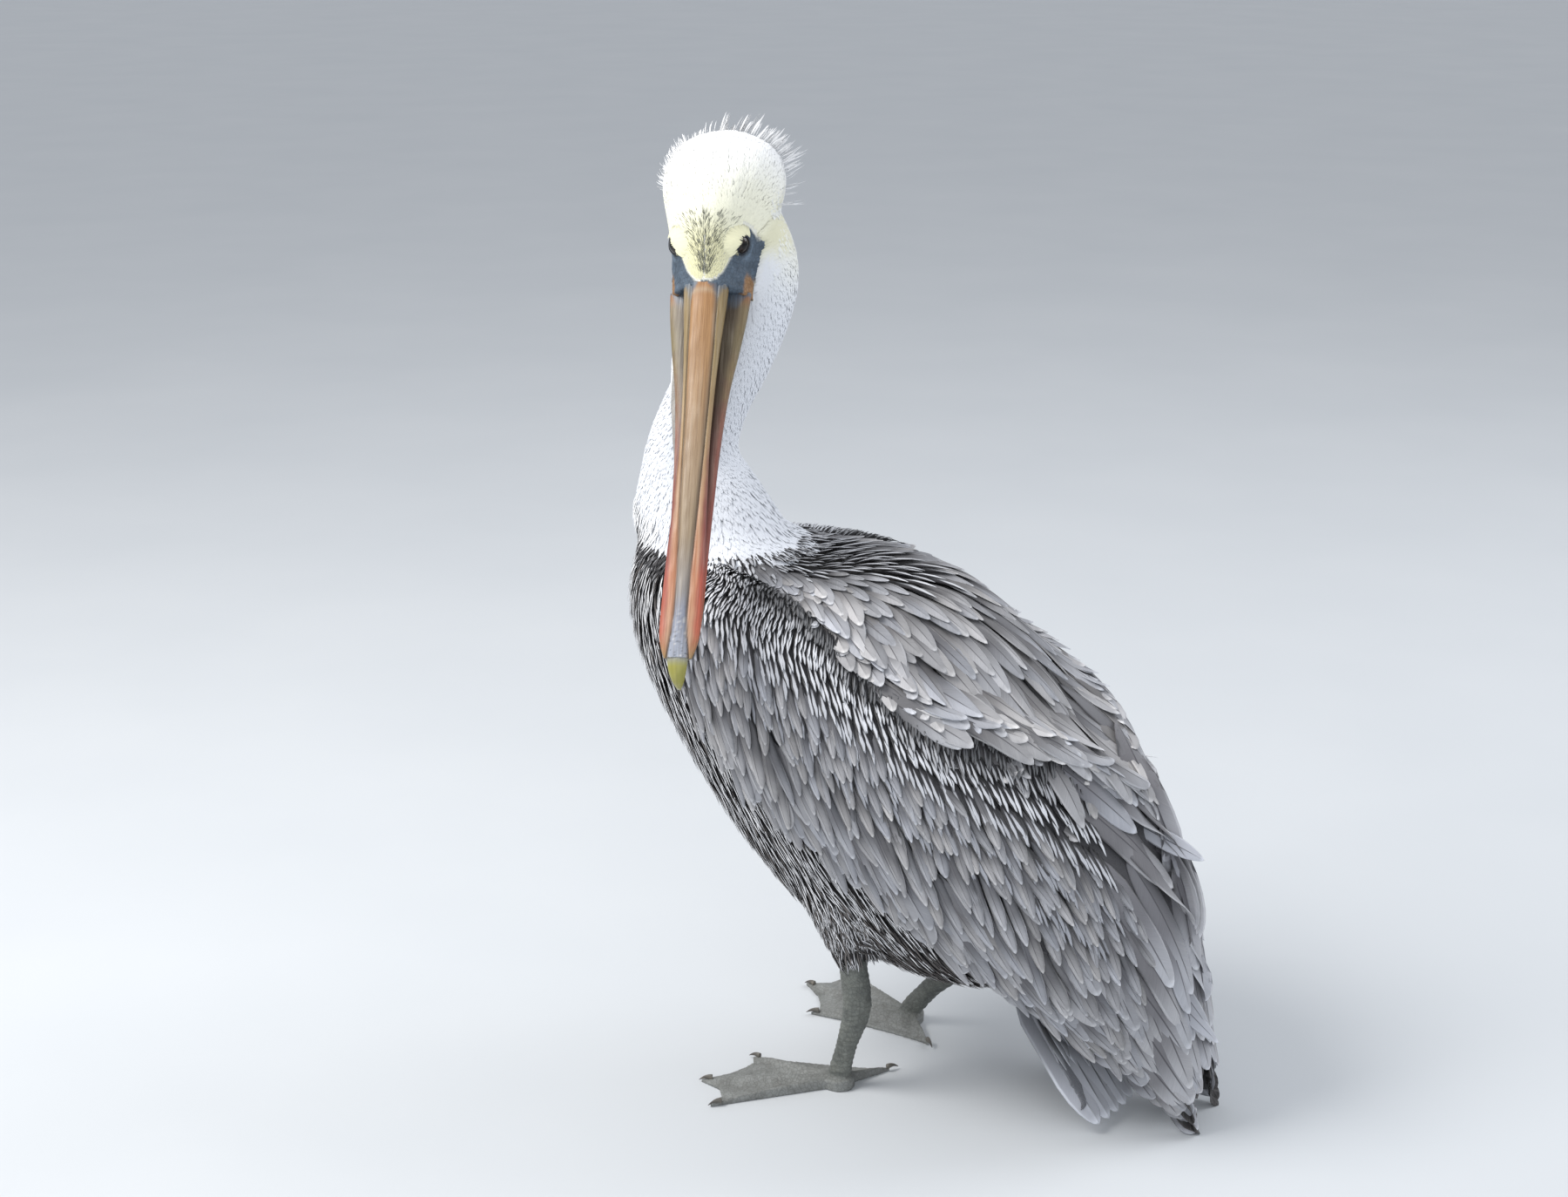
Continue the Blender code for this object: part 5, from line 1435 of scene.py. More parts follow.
# --- back: mantle and scapulars
def back_coat():
    fun = lambda s, a: trunk_at(s, a)
    co = Coat("coat_back", MAT["grey"], "grey_plumage", (0.0040, 0.0060))
    cs = Coat("coat_mantle", MAT["streak"], "grey_plumage")
    S, A, LL, WW = [], [], [], []
    s = 0.12
    k_ = 0
    while s < 6.6:
        L = float(np.interp(s, [0, 0.6, 1.2, 2.0, 3.0, 4.0, 6.6], [0.014, 0.024, 0.036, 0.055, 0.078, 0.096, 0.105]))
        W = float(np.interp(s, [0, 0.6, 1.2, 2.0, 3.0, 4.0, 6.6], [0.0042, 0.0062, 0.0088, 0.0125, 0.0165, 0.0195, 0.0210]))
        lo, hi = np.interp(s, [0, 1.0, 2.0, 4.0, 6.6], [20, 26, 30, 34, 44]), None
        q, a = rows_on(fun, [s + 1e-4 * k_], rad(lo), rad(180 - lo), W * 0.66)
        S.append(q + RNG.normal(0, 0.04, len(q))); A.append(a)
        LL.append(np.full(len(q), L)); WW.append(np.full(len(q), W))
        # rows are a third of a vane apart
        here = fun(np.array([s]), np.array([rad(88.0)]))[0]
        nxt = s
        while nxt < 9 and np.linalg.norm(fun(np.array([nxt]), np.array([rad(88.0)]))[0] - here) < L * 0.25:
            nxt += 0.01
        s = nxt
        k_ += 1
    s, a, L, W = map(np.concatenate, (S, A, LL, WW))
    p, n = core.snap(fun(s, a))
    zl = 0.4065 + 0.026 * np.clip((-0.140 - p[:, 1]) / 0.05, 0, 1)
    keep = (p[:, 2] < zl + 0.010) | (s > 0.5)
    nk = np.linalg.norm((p - arr(0, -0.135, 0.40))[:, :2] / arr(0.058, 0.060), axis=1) > 0.98
    keep &= nk
    s, a, p, n, L, W = pick(keep, s, a, p, n, L, W)
    k = len(p)
    sd = np.sign(p[:, 0])
    mid = np.abs(p[:, 0])
    # mantle feathers by the midline are smaller and darker
    centre = smooth(0.030, 0.012, mid) * smooth(3.8, 2.4, s)
    L = L * lerp(1.0, 0.62, centre) * np.exp(RNG.normal(0, 0.08, k))
    W = W * lerp(1.0, 0.72, centre)
    d = unit(fun(np.minimum(s + 0.1, 9), a) - fun(s - 0.1, a))
    out = np.stack([sd, 0 * sd, 0 * sd], 1)
    fan = np.interp(s, [0, 1, 2.5, 4.5, 6.6], [0.55, 0.42, 0.26, 0.10, -0.05]) * smooth(0.0, 0.05, mid)
    edge = smooth(0.062, 0.090, mid) * smooth(4.2, 3.0, s)
    d = unit(d + out * fan[:, None] + arr(0, 0, -0.55) * (edge[:, None]))
    d = jitter(d, n, 4.5)
    L = L * lerp(1.0, 0.72, edge)
    tip = RNG.random(k) ** 1.2 * 0.0030
    P, N = lay_on(form, p, d, L, np.stack([np.full(k, -0.0046), 0.0000 + 0.4 * tip, 0.0016 + tip], 1))
    tone = lerp(shade(WARM * 0.97, k, 0.15), shade(GREY * 0.99, k, 0.15), RNG.random((k, 1)))
    tone = lerp(tone, tone * 0.92, centre[:, None]) * lerp(0.52, 1.0, smooth(0.9, 2.3, s))[:, None]
    alt = np.broadcast_to(arr(0.060, 0.056, 0.058), (k, 3))
    uvp = np.stack([0.02 + 0.96 * (a - rad(20)) / rad(140), 0.98 - 0.95 * s / 6.7], 1)
    dark = (s < 1.35) | ((centre > 0.35) & (s < 2.6))
    dark &= ~((s > 1.25) & (centre < 0.2))
    g = ~dark
    co.add("big", P[g], N[g], L[g], W[g], tone[g], alt[g], atlas(uvp[g], (0.0125, 0.0165)), camber=0.26, thick=0.00034,
           blunt=0.72, skew=0.08, twist=RNG.normal(0, 0.10, g.sum()), flip=sd[g])
    # outer scapulars: long straps whose tips lie over the wing's upper edge
    for side in (1, -1):
        us, rows = [], []
        for row in range(3):
            u_ = 1.40 + row * 0.10
            while u_ < 6.5:
                rows.append((u_, row))
                here = wing_at(np.array([u_]), np.array([0.0]), side)[0]
                gap = float(np.interp(u_, [0.5, 3, 6], [0.0065, 0.0125, 0.0135]))
                nxt = u_
                while np.linalg.norm(wing_at(np.array([nxt]), np.array([0.0]), side)[0] - here) < gap and nxt < 7:
                    nxt += 0.01
                u_ = nxt
        r_ = np.array(rows)
        uu, rw = r_.T
        uu = uu + RNG.normal(0, 0.03, len(uu))
        k2 = len(uu)
        e = 0.1
        edge_d = unit(wing_at(uu + e, 0 * uu, side) - wing_at(uu - e, 0 * uu, side))
        outw = np.stack([np.full(k2, side), 0 * uu, np.full(k2, -0.35)], 1)
        vt = lerp(-0.10, 0.055, smooth(0.9, 3.6, uu)) - 0.050 * rw + RNG.normal(0, 0.024, k2)
        tipp = wing_at(uu, np.clip(vt, -0.16, 0.3), side)
        L2 = np.interp(uu, [0.5, 1.5, 3.0, 4.5, 6.5], [0.026, 0.042, 0.066, 0.080, 0.086]) * np.exp(RNG.normal(0, 0.08, k2))
        W2 = np.interp(uu, [0.5, 1.5, 3.0, 4.5, 6.5], [0.0075, 0.0115, 0.0165, 0.0190, 0.0195]) * np.exp(RNG.normal(0, 0.06, k2))
        dd = unit(edge_d * 1.0 + outw * np.interp(uu, [0.5, 3, 6.5], [0.75, 0.50, 0.34])[:, None])
        root = tipp - dd * L2[:, None] + arr(0, 0, 0.004)
        s3, n3 = form.snap(np.stack([root, tipp - dd * (L2 * 0.5)[:, None] + arr(0, 0, 0.002), tipp], 1).reshape(-1, 3))
        s3, n3 = s3.reshape(-1, 3, 3), n3.reshape(-1, 3, 3)
        hh = np.stack([np.full(k2, -0.004), np.full(k2, 0.0022), 0.0028 + RNG.random(k2) * 0.0044], 1) * np.interp(uu, [0.5, 2.5], [0.6, 1.0])[:, None]
        P2 = s3 + n3 * hh[..., None]
        tn = lerp(shade(WARM * 1.10, k2, 0.12), shade(GREY * 1.15, k2, 0.12), RNG.random((k2, 1)))
        co.add("big", P2, n3, L2, W2, tn, np.broadcast_to(arr(0.060, 0.056, 0.058), (k2, 3)),
               atlas(np.stack([0.5 + side * (0.30 + 0.05 * rw), 0.95 - uu * 0.13], 1), (0.0125, 0.0165)), camber=0.24, thick=0.00036,
               blunt=0.80, skew=0.10, twist=RNG.normal(0, 0.08, k2), flip=side)
    m = int(dark.sum())
    cs.add("mid", P[dark], N[dark], L[dark] * 1.05, W[dark] * 0.95, shade(SILVER * 0.80, m, 0.14), shade(BLACKISH * 1.4, m, 0.2),
           atlas(uvp[dark], (0.0062, 0.0062)), camber=0.16, thick=0.00025, blunt=0.18)

    # a few loose feathers and hair-like plumes stand clear behind the wings
    RIGHT, UP = arr(-0.4226, 0.9063, 0), arr(-0.2574, -0.1200, 0.9588)
    for at, run, drop, wd, kd, tn in (((0.0106, 0.2206, 0.2245), 0.037, -0.020, 0.0150, "big", GREY * 1.45), ((0.0060, 0.2080, 0.2330), 0.034, -0.026, 0.0130, "big", GREY * 1.25),
                                      ((0.0243, 0.2480, 0.1032), 0.030, -0.031, 0.0125, "big", GREY * 1.35), ((0.0200, 0.2460, 0.1150), 0.024, -0.034, 0.0120, "big", GREY * 1.15),
                                      ((-0.0233, 0.1924, 0.2699), 0.019, -0.003, 0.0009, "fine", WHITE), ((-0.0200, 0.1980, 0.2600), 0.016, -0.012, 0.0008, "fine", WHITE),
                                      ((0.0090, 0.2140, 0.2400), 0.023, -0.022, 0.0009, "fine", WHITE), ((0.0080, 0.2100, 0.2450), 0.018, -0.020, 0.0008, "fine", WHITE)):
        at = arr(*at)
        end = at + RIGHT * run + UP * drop
        beg = at - (end - at) * 0.55 - SIGHT * 0.004
        Pq = np.stack([beg, (beg + end) / 2 + SIGHT * 0.003, end])[None]
        co.add(kd, Pq, unit(np.stack([SIGHT + arr(0, 0, 0.4)] * 3))[None], np.array([np.linalg.norm(end - beg)]), wd, tn[None], (tn * 0.6)[None],
               atlas(arr([0.5, 0.02]), (0.0125, 0.0165)), camber=0.18, thick=0.00034, blunt=0.55)

    # blackish collar of short feathers round the base of the neck
    m = 900
    aa = RNG.uniform(-math.pi, math.pi, m)
    q, nn = core.snap(neck_at(np.full(m, 0.55), aa))
    zz = 0.4065 + 0.026 * np.clip((-0.140 - q[:, 1]) / 0.05, 0, 1)
    q[:, 2] = zz + RNG.uniform(-0.020, 0.003, m)
    q, nn = core.snap(q)
    out = np.stack([q[:, 0], q[:, 1] + 0.12, 0 * q[:, 0]], 1)
    dd = jitter(unit(out) * 0.8 + arr(0, 0.1, -0.6), nn, 12)
    L2 = RNG.uniform(0.014, 0.022, m)
    P, N = lay_on(core, q, dd, L2, np.stack([np.full(m, -0.0044), np.full(m, -0.0010), RNG.uniform(-0.0004, 0.0010, m)], 1))
    lightf = RNG.random((m, 1)) < 0.25
    cs.add("small", P, N, L2, 0.0034, np.where(lightf, arr(0.30, 0.30, 0.31), shade(arr(0.045, 0.042, 0.045), m, 0.2)), shade(BLACKISH, m, 0.2),
           np.stack([0.5 + aa / math.pi * 0.49, np.full(m, 0.99)], 1), camber=0.15, thick=0.0002, blunt=0.1)
    coats.append(co.make())
    coats.append(cs.make())


# --- tail
def tail_coat():
    co = Coat("coat_tail", MAT["grey"], "grey_plumage", (0.0120, 0.0240))
    along = arr(0, math.cos(TAIL_SLOPE), -math.sin(TAIL_SLOPE))
    up = arr(0, math.sin(TAIL_SLOPE), math.cos(TAIL_SLOPE))
    n0 = 9
    reach = 0.1425
    P, N, Wd = [], [], []
    for k in range(n0):
        q = 2.0 * k / (n0 - 1) - 1.0
        order = 1 - abs(q)
        for (h, r_) in ((0.0030 + 0.0062 * order, reach),):
            pts = []
            for sct in (0.10, 0.55, 1.0):
                w = TAIL_ROOT_W * 0.86 + (TAIL_TIP_W * 0.86 - TAIL_ROOT_W * 0.86) * sct ** 0.8
                crown = 0.012 * (1 - q * q) * (1 - 0.8 * sct)
                pts.append(TAIL_ROOT + along * (r_ * (1 - 0.045 * q * q) * sct) + arr(1, 0, 0) * (q * w) + up * (crown + h * (1 - 0.55 * sct)))
            P.append(pts)
            N.append([up + arr(0.25 * q, 0, 0)] * 3)
    P, N = np.array(P), unit(np.array(N))
    tone = shade(GREY * 1.42, n0, 0.05)
    L = np.linalg.norm(P[:, 2] - P[:, 0], axis=1)
    co.add("big", P, N, L, 0.0345, tone, np.broadcast_to(arr(0.27, 0.275, 0.30), (n0, 3)),
           atlas(np.stack([np.linspace(0.04, 0.96, n0), np.full(n0, 0.3)], 1), (0.026, 0.052)), camber=0.10, thick=0.00036, blunt=0.82, skew=0.0)
    # coverts over the root above and below
    m = 150
    q = RNG.uniform(-1, 1, m)
    sct = RNG.uniform(0.0, 0.34, m)
    under = RNG.random(m) < 0.5
    w = TAIL_ROOT_W + (TAIL_TIP_W - TAIL_ROOT_W) * sct ** 0.8
    sg = np.where(under, -1.0, 1.0)
    base = TAIL_ROOT + along * (reach * sct)[:, None] + arr(1, 0, 0) * (q * w)[:, None]
    hh = 0.012 * (1 - q * q) * (1 - 0.8 * sct) + sg * (0.0080 * (1 - sct) + 0.0025)
    base = base + up * hh[:, None]
    dd = along + arr(1, 0, 0) * (q * 0.22)[:, None]
    LL = RNG.uniform(0.038, 0.056, m)
    Pc = np.stack([base - up * (sg * 0.003)[:, None], base + dd * (LL * 0.5)[:, None] - up * (sg * 0.0006)[:, None], base + dd * LL[:, None] - up * (sg * 0.0030)[:, None]], 1)
    Nc = np.repeat((up * sg[:, None])[:, None], 3, axis=1)
    co.add("mid", Pc, Nc, LL, 0.0115, np.where(under[:, None], shade(arr(0.13, 0.115, 0.105), m, 0.1), shade(GREY, m, 0.08)),
           np.broadcast_to(arr(0.05, 0.048, 0.05), (m, 3)), atlas(np.stack([0.5 + q * 0.45, 0.75 + 0.2 * sct], 1), (0.026, 0.013)), camber=0.14, thick=0.00026, blunt=0.4)
    coats.append(co.make())


# ---------------------------------------------------------------- bill, eyes, claws
def tint(ob, tone):
    at = ob.data.attributes.new("tone", 'FLOAT_COLOR', 'POINT')
    at.data.foreach_set("color", np.hstack([np.clip(tone, 0, 1), np.ones((len(tone), 1))]).astype(np.float32).ravel())


def scalar(ob, name, x):
    at = ob.data.attributes.new(name, 'FLOAT', 'POINT')
    at.data.foreach_set("value", np.ascontiguousarray(x, np.float32))


SLATE = arr(0.110, 0.150, 0.200)


def tube(secs):
    """Close a list of rings (m, n, 3) into one solid of triangles."""
    m, n = secs.shape[:2]
    v = np.vstack([secs.reshape(-1, 3), secs[0].mean(0)[None], secs[-1].mean(0)[None]])
    i = np.arange(n)
    j = (i + 1) % n
    f = []
    for k in range(m - 1):
        a, b, c, d = k * n + i, k * n + j, (k + 1) * n + j, (k + 1) * n + i
        f += [np.stack([a, b, c], 1), np.stack([a, c, d], 1)]
    f.append(np.stack([np.full(n, m * n), j, i], 1))
    f.append(np.stack([np.full(n, m * n + 1), (m - 1) * n + i, (m - 1) * n + j], 1))
    f = np.vstack(f)
    vol = np.einsum('ij,ij->i', v[f[:, 0]], np.cross(v[f[:, 1]], v[f[:, 2]])).sum()
    return v, (f if vol > 0 else f[:, ::-1])


def bill():
    m, n = 150, 84
    th = np.linspace(0, 2 * math.pi, n, endpoint=False)
    c, s = np.cos(th), np.sin(th)
    st = np.linspace(0, 10, m)
    r = cr(BEAK, st)
    p = 2.6
    X = np.sign(c) * np.abs(c) ** (2 / p)
    Y = np.sign(s) * np.abs(s) ** (2 / p)
    fwd = r[:, 0:1] + 0 * X
    a, top, h = r[:, 1:2], r[:, 2:3], r[:, 3:4]
    ridge = np.interp(r[:, 0], [0, 0.05, 0.10, 0.16, 0.21, 0.245, 0.262, 0.28], [0.0098, 0.0094, 0.0082, 0.0067, 0.0052, 0.0046, 0.0056, 0.0080])[:, None]
    x = a * X
    z = top - h / 2 + h / 2 * Y
    upper = np.clip(Y, 0, 1) ** 0.35
    g = np.exp(-((np.abs(x) - ridge) / 0.00062) ** 2) * upper
    z = z - 0.00125 * g
    inside = smooth(0.0, 0.0018, ridge - np.abs(x)) * upper
    z = z + inside * 0.0008 * (1 - (np.abs(x) / ridge) ** 2) - (1 - inside) * upper * 0.0009
    # dents and swellings along the margins, and a fine wave in the ridge
    w = hash_noise(np.stack([fwd.ravel() * 1.0, x.ravel() * 2.0, 0 * x.ravel()], 1), 0.010).reshape(x.shape)
    z = z + upper * 0.00025 * w
    secs = head_point(fwd, x, z)
    v, f = tube(secs)
    ob = new_mesh("bill_upper_horn", v + ORIGIN, f, MAT["horn"])
    # colours: orange root, tan middle, grey-blue before the nail; red margins in the outer half
    ff = np.append(fwd.ravel(), [0, 0.28])
    xx = np.append(x.ravel(), [0, 0])
    zz = np.append(np.broadcast_to(Y, x.shape).ravel(), [0, 0])
    rr = np.append(np.broadcast_to(ridge, x.shape).ravel(), [0.01, 0.008])
    aa = np.append(np.broadcast_to(a, x.shape).ravel(), [0.0168, 0.01])
    gg = np.append(g.ravel(), [0, 0])
    key = [0, 0.020, 0.07, 0.13, 0.19, 0.232, 0.248, 0.28]
    mid = np.stack([np.interp(ff, key, q) for q in (
        (0.38, 0.40, 0.38, 0.36, 0.33, 0.29, 0.28, 0.34), (0.185, 0.215, 0.225, 0.250, 0.250, 0.270, 0.30, 0.37), (0.068, 0.090, 0.110, 0.155, 0.165, 0.26, 0.375, 0.44))], 1)
    strip = np.stack([np.interp(ff, [0, 0.06, 0.12, 0.18, 0.22, 0.28], q) for q in (
        (0.24, 0.36, 0.45, 0.47, 0.55, 0.45), (0.17, 0.26, 0.30, 0.26, 0.24, 0.30), (0.075, 0.125, 0.16, 0.15, 0.13, 0.20))], 1)
    inn = smooth(-0.0003, 0.0005, rr - np.abs(xx))[:, None]
    col = strip * (1 - inn) + mid * inn
    red = np.stack([np.interp(ff, [0.10, 0.135, 0.18, 0.208, 0.225, 0.262, 0.28], q) for q in (
        (0.34, 0.30, 0.23, 0.28, 0.42, 0.46, 0.36), (0.19, 0.12, 0.056, 0.058, 0.082, 0.110, 0.24), (0.11, 0.080, 0.052, 0.050, 0.056, 0.062, 0.10))], 1)
    wob = 0.06 * hash_noise(np.stack([ff, xx * 0.2, 0 * ff], 1), 0.008)
    lim = np.interp(ff, [0.10, 0.14, 0.19, 0.24, 0.28], [0.98, 0.90, 0.80, 0.70, 0.66])
    mr = smooth(-0.16, 0.16, np.abs(xx) / aa - lim + wob) * smooth(0.10, 0.13, ff) * 0.92
    col = lerp(col, red, mr[:, None])
    # pale and dark flecks where the ridge meets the nail
    fl = hash_noise(head_point(ff, xx, 0 * xx), 0.0014)
    nearn = smooth(0.236, 0.256, ff) * inn[:, 0]
    col = lerp(col, np.where(fl[:, None] > 0, arr(0.62, 0.62, 0.62), arr(0.10, 0.11, 0.13)), (nearn * smooth(0.45, 0.75, np.abs(fl)) * 0.75)[:, None])
    # painted shade: the groove beside the ridge is darkened to near black
    col = lerp(col, arr(0.035, 0.028, 0.020)[None], (np.clip(gg, 0, 1) * 0.80)[:, None])
    # painted shade: the underside of the upper bill, in the slit over the lower bill, is darkened
    col = lerp(col, arr(0.060, 0.034, 0.022)[None], smooth(0.10, -0.30, zz)[:, None] * 0.85)
    # the root fades into the slate of the face
    vee = np.exp(-((np.abs(xx) - rr) / 0.0032) ** 2)
    root = smooth(0.0012 + 0.0150 * vee + 0.0030 * np.clip(np.abs(xx) / rr, 0, 1) ** 3, 0.0, ff + 0.0018 * fl)
    pale = np.exp(-((ff - 0.0060 - 0.0030 * np.clip(np.abs(xx) / rr, 0, 1) ** 3) / 0.0022) ** 2) * inn[:, 0]
    col = lerp(col, arr(0.52, 0.43, 0.31)[None], (pale * 0.45)[:, None])
    col = lerp(col, SLATE[None], root[:, None])
    tint(ob, col)
    scalar(ob, "bx", xx); scalar(ob, "bf", ff); scalar(ob, "bz", zz * 0.004)
    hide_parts("bill_upper")
    out = [ob]

    # lower bill: two rami either side of the pouch, a long dark slit above them; the dark is partly painted shade on
    # the tops of the rami
    under = top - h - 0.00035
    la, lh = r[:, 4:5], r[:, 5:6]
    x = la * X
    z = under - lh / 2 + lh / 2 * Y
    side = np.clip(np.abs(X), 0, 1) ** 3
    line = np.exp(-((Y + 0.05) / 0.16) ** 2) * side
    x = x - np.sign(x) * 0.0006 * line
    # hollow between the rami where the upper bill sits
    z = z - 0.0010 * np.clip(Y, 0, 1) * np.exp(-(x / (la * 0.55)) ** 4)
    secs = head_point(fwd, x, z)
    v, f = tube(secs)
    ob = new_mesh("bill_lower_horn", v + ORIGIN, f, MAT["horn"])
    ff = np.append(fwd.ravel(), [0, 0.28]); xx = np.append(x.ravel(), [0, 0])
    yy = np.append(np.broadcast_to(Y, x.shape).ravel(), [0, 0])
    col = np.stack([np.interp(ff, [0, 0.005, 0.013, 0.045, 0.075, 0.11, 0.16, 0.205, 0.225, 0.28], q) for q in (
        (0.34, 0.30, 0.22, 0.21, 0.24, 0.28, 0.27, 0.32, 0.46, 0.42), (0.155, 0.150, 0.165, 0.165, 0.145, 0.115, 0.078, 0.072, 0.105, 0.16), (0.060, 0.070, 0.090, 0.090, 0.090, 0.085, 0.056, 0.054, 0.060, 0.07))], 1)
    fl = hash_noise(head_point(ff, xx, yy * 0.004), 0.005)
    col = lerp(col, arr(0.26, 0.21, 0.10)[None], np.clip(0.5 + fl, 0, 1)[:, None] * 0.5 * smooth(0.02, 0.04, ff)[:, None] * smooth(0.12, 0.08, ff)[:, None])
    # painted shade: the top of each ramus, in the slit under the upper bill, is darkened
    col = lerp(col, arr(0.050, 0.034, 0.026)[None], (smooth(0.55, 0.95, yy) * 0.8)[:, None])
    reach = 0.0040 + 0.0130 * smooth(0.98, 0.70, np.abs(xx) / np.append(np.broadcast_to(la, x.shape).ravel(), [0.02, 0.01]))
    root = smooth(reach, 0.35 * reach, ff + 0.0020 * fl)
    col = lerp(col, SLATE[None], (root * 0.85)[:, None])
    tint(ob, col)
    scalar(ob, "bx", xx); scalar(ob, "bf", ff); scalar(ob, "bz", yy * 0.005)
    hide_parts("bill_lower")
    out.append(ob)

    # nail: hooked, keeled along its middle
    rows = arr((0.2788, 0.0078, -0.0034, 0.0070), (0.2880, 0.0064, -0.0046, 0.0080), (0.2950, 0.0042, -0.0080, 0.0100), (0.2995, 0.0012, -0.0138, 0.0070))
    q = cr(rows, np.linspace(0, 3, 46))
    n2 = 48
    th = np.linspace(0, 2 * math.pi, n2, endpoint=False)
    c, s = np.cos(th), np.sin(th)
    X, Y = np.sign(c) * np.abs(c) ** (2 / 2.2), np.sign(s) * np.abs(s) ** (2 / 2.2)
    x = q[:, 1:2] * X
    z = q[:, 2:3] - q[:, 3:4] / 2 + q[:, 3:4] / 2 * Y + 0.0004 * np.exp(-(x / 0.0016) ** 2) * (Y > 0)
    secs = head_point(q[:, 0:1] + 0 * X, x, z)
    v, f = tube(secs)
    ob = new_mesh("bill_nail_horn", v + ORIGIN, f, MAT["nail"])
    ff = np.append((q[:, 0:1] + 0 * X).ravel(), [0.28, 0.3]); xx = np.append(x.ravel(), [0, 0])
    t = smooth(0.279, 0.287, ff)[:, None]
    col = lerp(arr(0.30, 0.30, 0.26)[None], arr(0.335, 0.315, 0.072)[None], t)
    col = lerp(col, arr(0.42, 0.40, 0.20)[None], smooth(0.296, 0.300, ff)[:, None] * 0.6)
    tint(ob, col)
    scalar(ob, "bx", xx); scalar(ob, "bf", ff); scalar(ob, "bz", 0 * ff)
    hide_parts("bill_nail")
    out.append(ob)
    return out


def eyes():
    out = []
    for sd, tag in ((1, "left"), (-1, "right")):
        c = head_point(*eye_c[sd])
        axis = unit(LFT * sd * 0.80 + FWD * 0.42 + CRN * 0.42)
        e1 = unit(FWD - axis * (FWD @ axis))
        e2 = np.cross(axis, e1)
        m, n = 40, 48
        th = np.linspace(0.02, math.pi - 0.02, m)
        ph = np.linspace(0, 2 * math.pi, n, endpoint=False)
        bulge = 1 + 0.035 * np.exp(-(th / 0.55) ** 2)
        rr = EYE_R * bulge * 0.992
        secs = c + (rr * np.cos(th))[:, None, None] * axis + (rr * np.sin(th))[:, None, None] * (np.cos(ph)[None, :, None] * e1 + np.sin(ph)[None, :, None] * e2)
        v, f = tube(secs)
        ob = new_mesh("eyeball_" + tag, v + ORIGIN, f, MAT["eye"])
        scalar(ob, "er", np.append(np.repeat(th, n), [0, math.pi]))
        scalar(ob, "ep", np.append(np.tile(np.abs(ph - math.pi), m), [0, 0]))
        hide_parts("eye_" + tag)
        out.append(ob)
    return out


def claws():
    vs, fs, tones, off = [], [], [], 0
    for sd, key in ((1, "left"), (-1, "right")):
        at, turn = LEGS[key][0], FOOT_TURN[key]
        ca, sa = math.cos(turn), math.sin(turn)
        for ang, ln in TOES:
            a = rad(ang)
            x, y = math.sin(a) * sd, -math.cos(a)
            d = arr(x * ca - y * sa, x * sa + y * ca, 0)
            t = np.linspace(0, 1, 14)
            r = 0.0022 * (1 - t) ** 0.8 + 0.00012
            cc = arr(at[0], at[1], 0) + d * (ln * 0.915 + 0.0105 * t)[:, None] + arr(0, 0, 1) * (0.0042 + 0.0012 * np.sin(t * 2.2) - 0.0034 * t ** 2)[:, None]
            side = np.cross(d, arr(0, 0, 1))
            ph = np.linspace(0, 2 * math.pi, 14, endpoint=False)
            secs = cc[:, None] + r[:, None, None] * (np.cos(ph)[None, :, None] * side * 0.8 + np.sin(ph)[None, :, None] * arr(0, 0, 1))
            secs[..., 2] = np.maximum(secs[..., 2], 0.0002)
            v, f = tube(secs)
            vs.append(v); fs.append(f + off); off += len(v)
            tt_ = np.append(np.repeat(t, 14), [0, 1])
            tones.append(lerp(arr(0.16, 0.15, 0.13)[None], arr(0.045, 0.040, 0.036)[None], tt_[:, None]))
    ob = new_mesh("claws", np.vstack(vs) + ORIGIN, np.vstack(fs), MAT["claw"])
    tint(ob, np.vstack(tones))
    v = np.vstack(vs)
    scalar(ob, "bx", v[:, 0]); scalar(ob, "bf", v[:, 1]); scalar(ob, "bz", v[:, 2])
    return [ob]


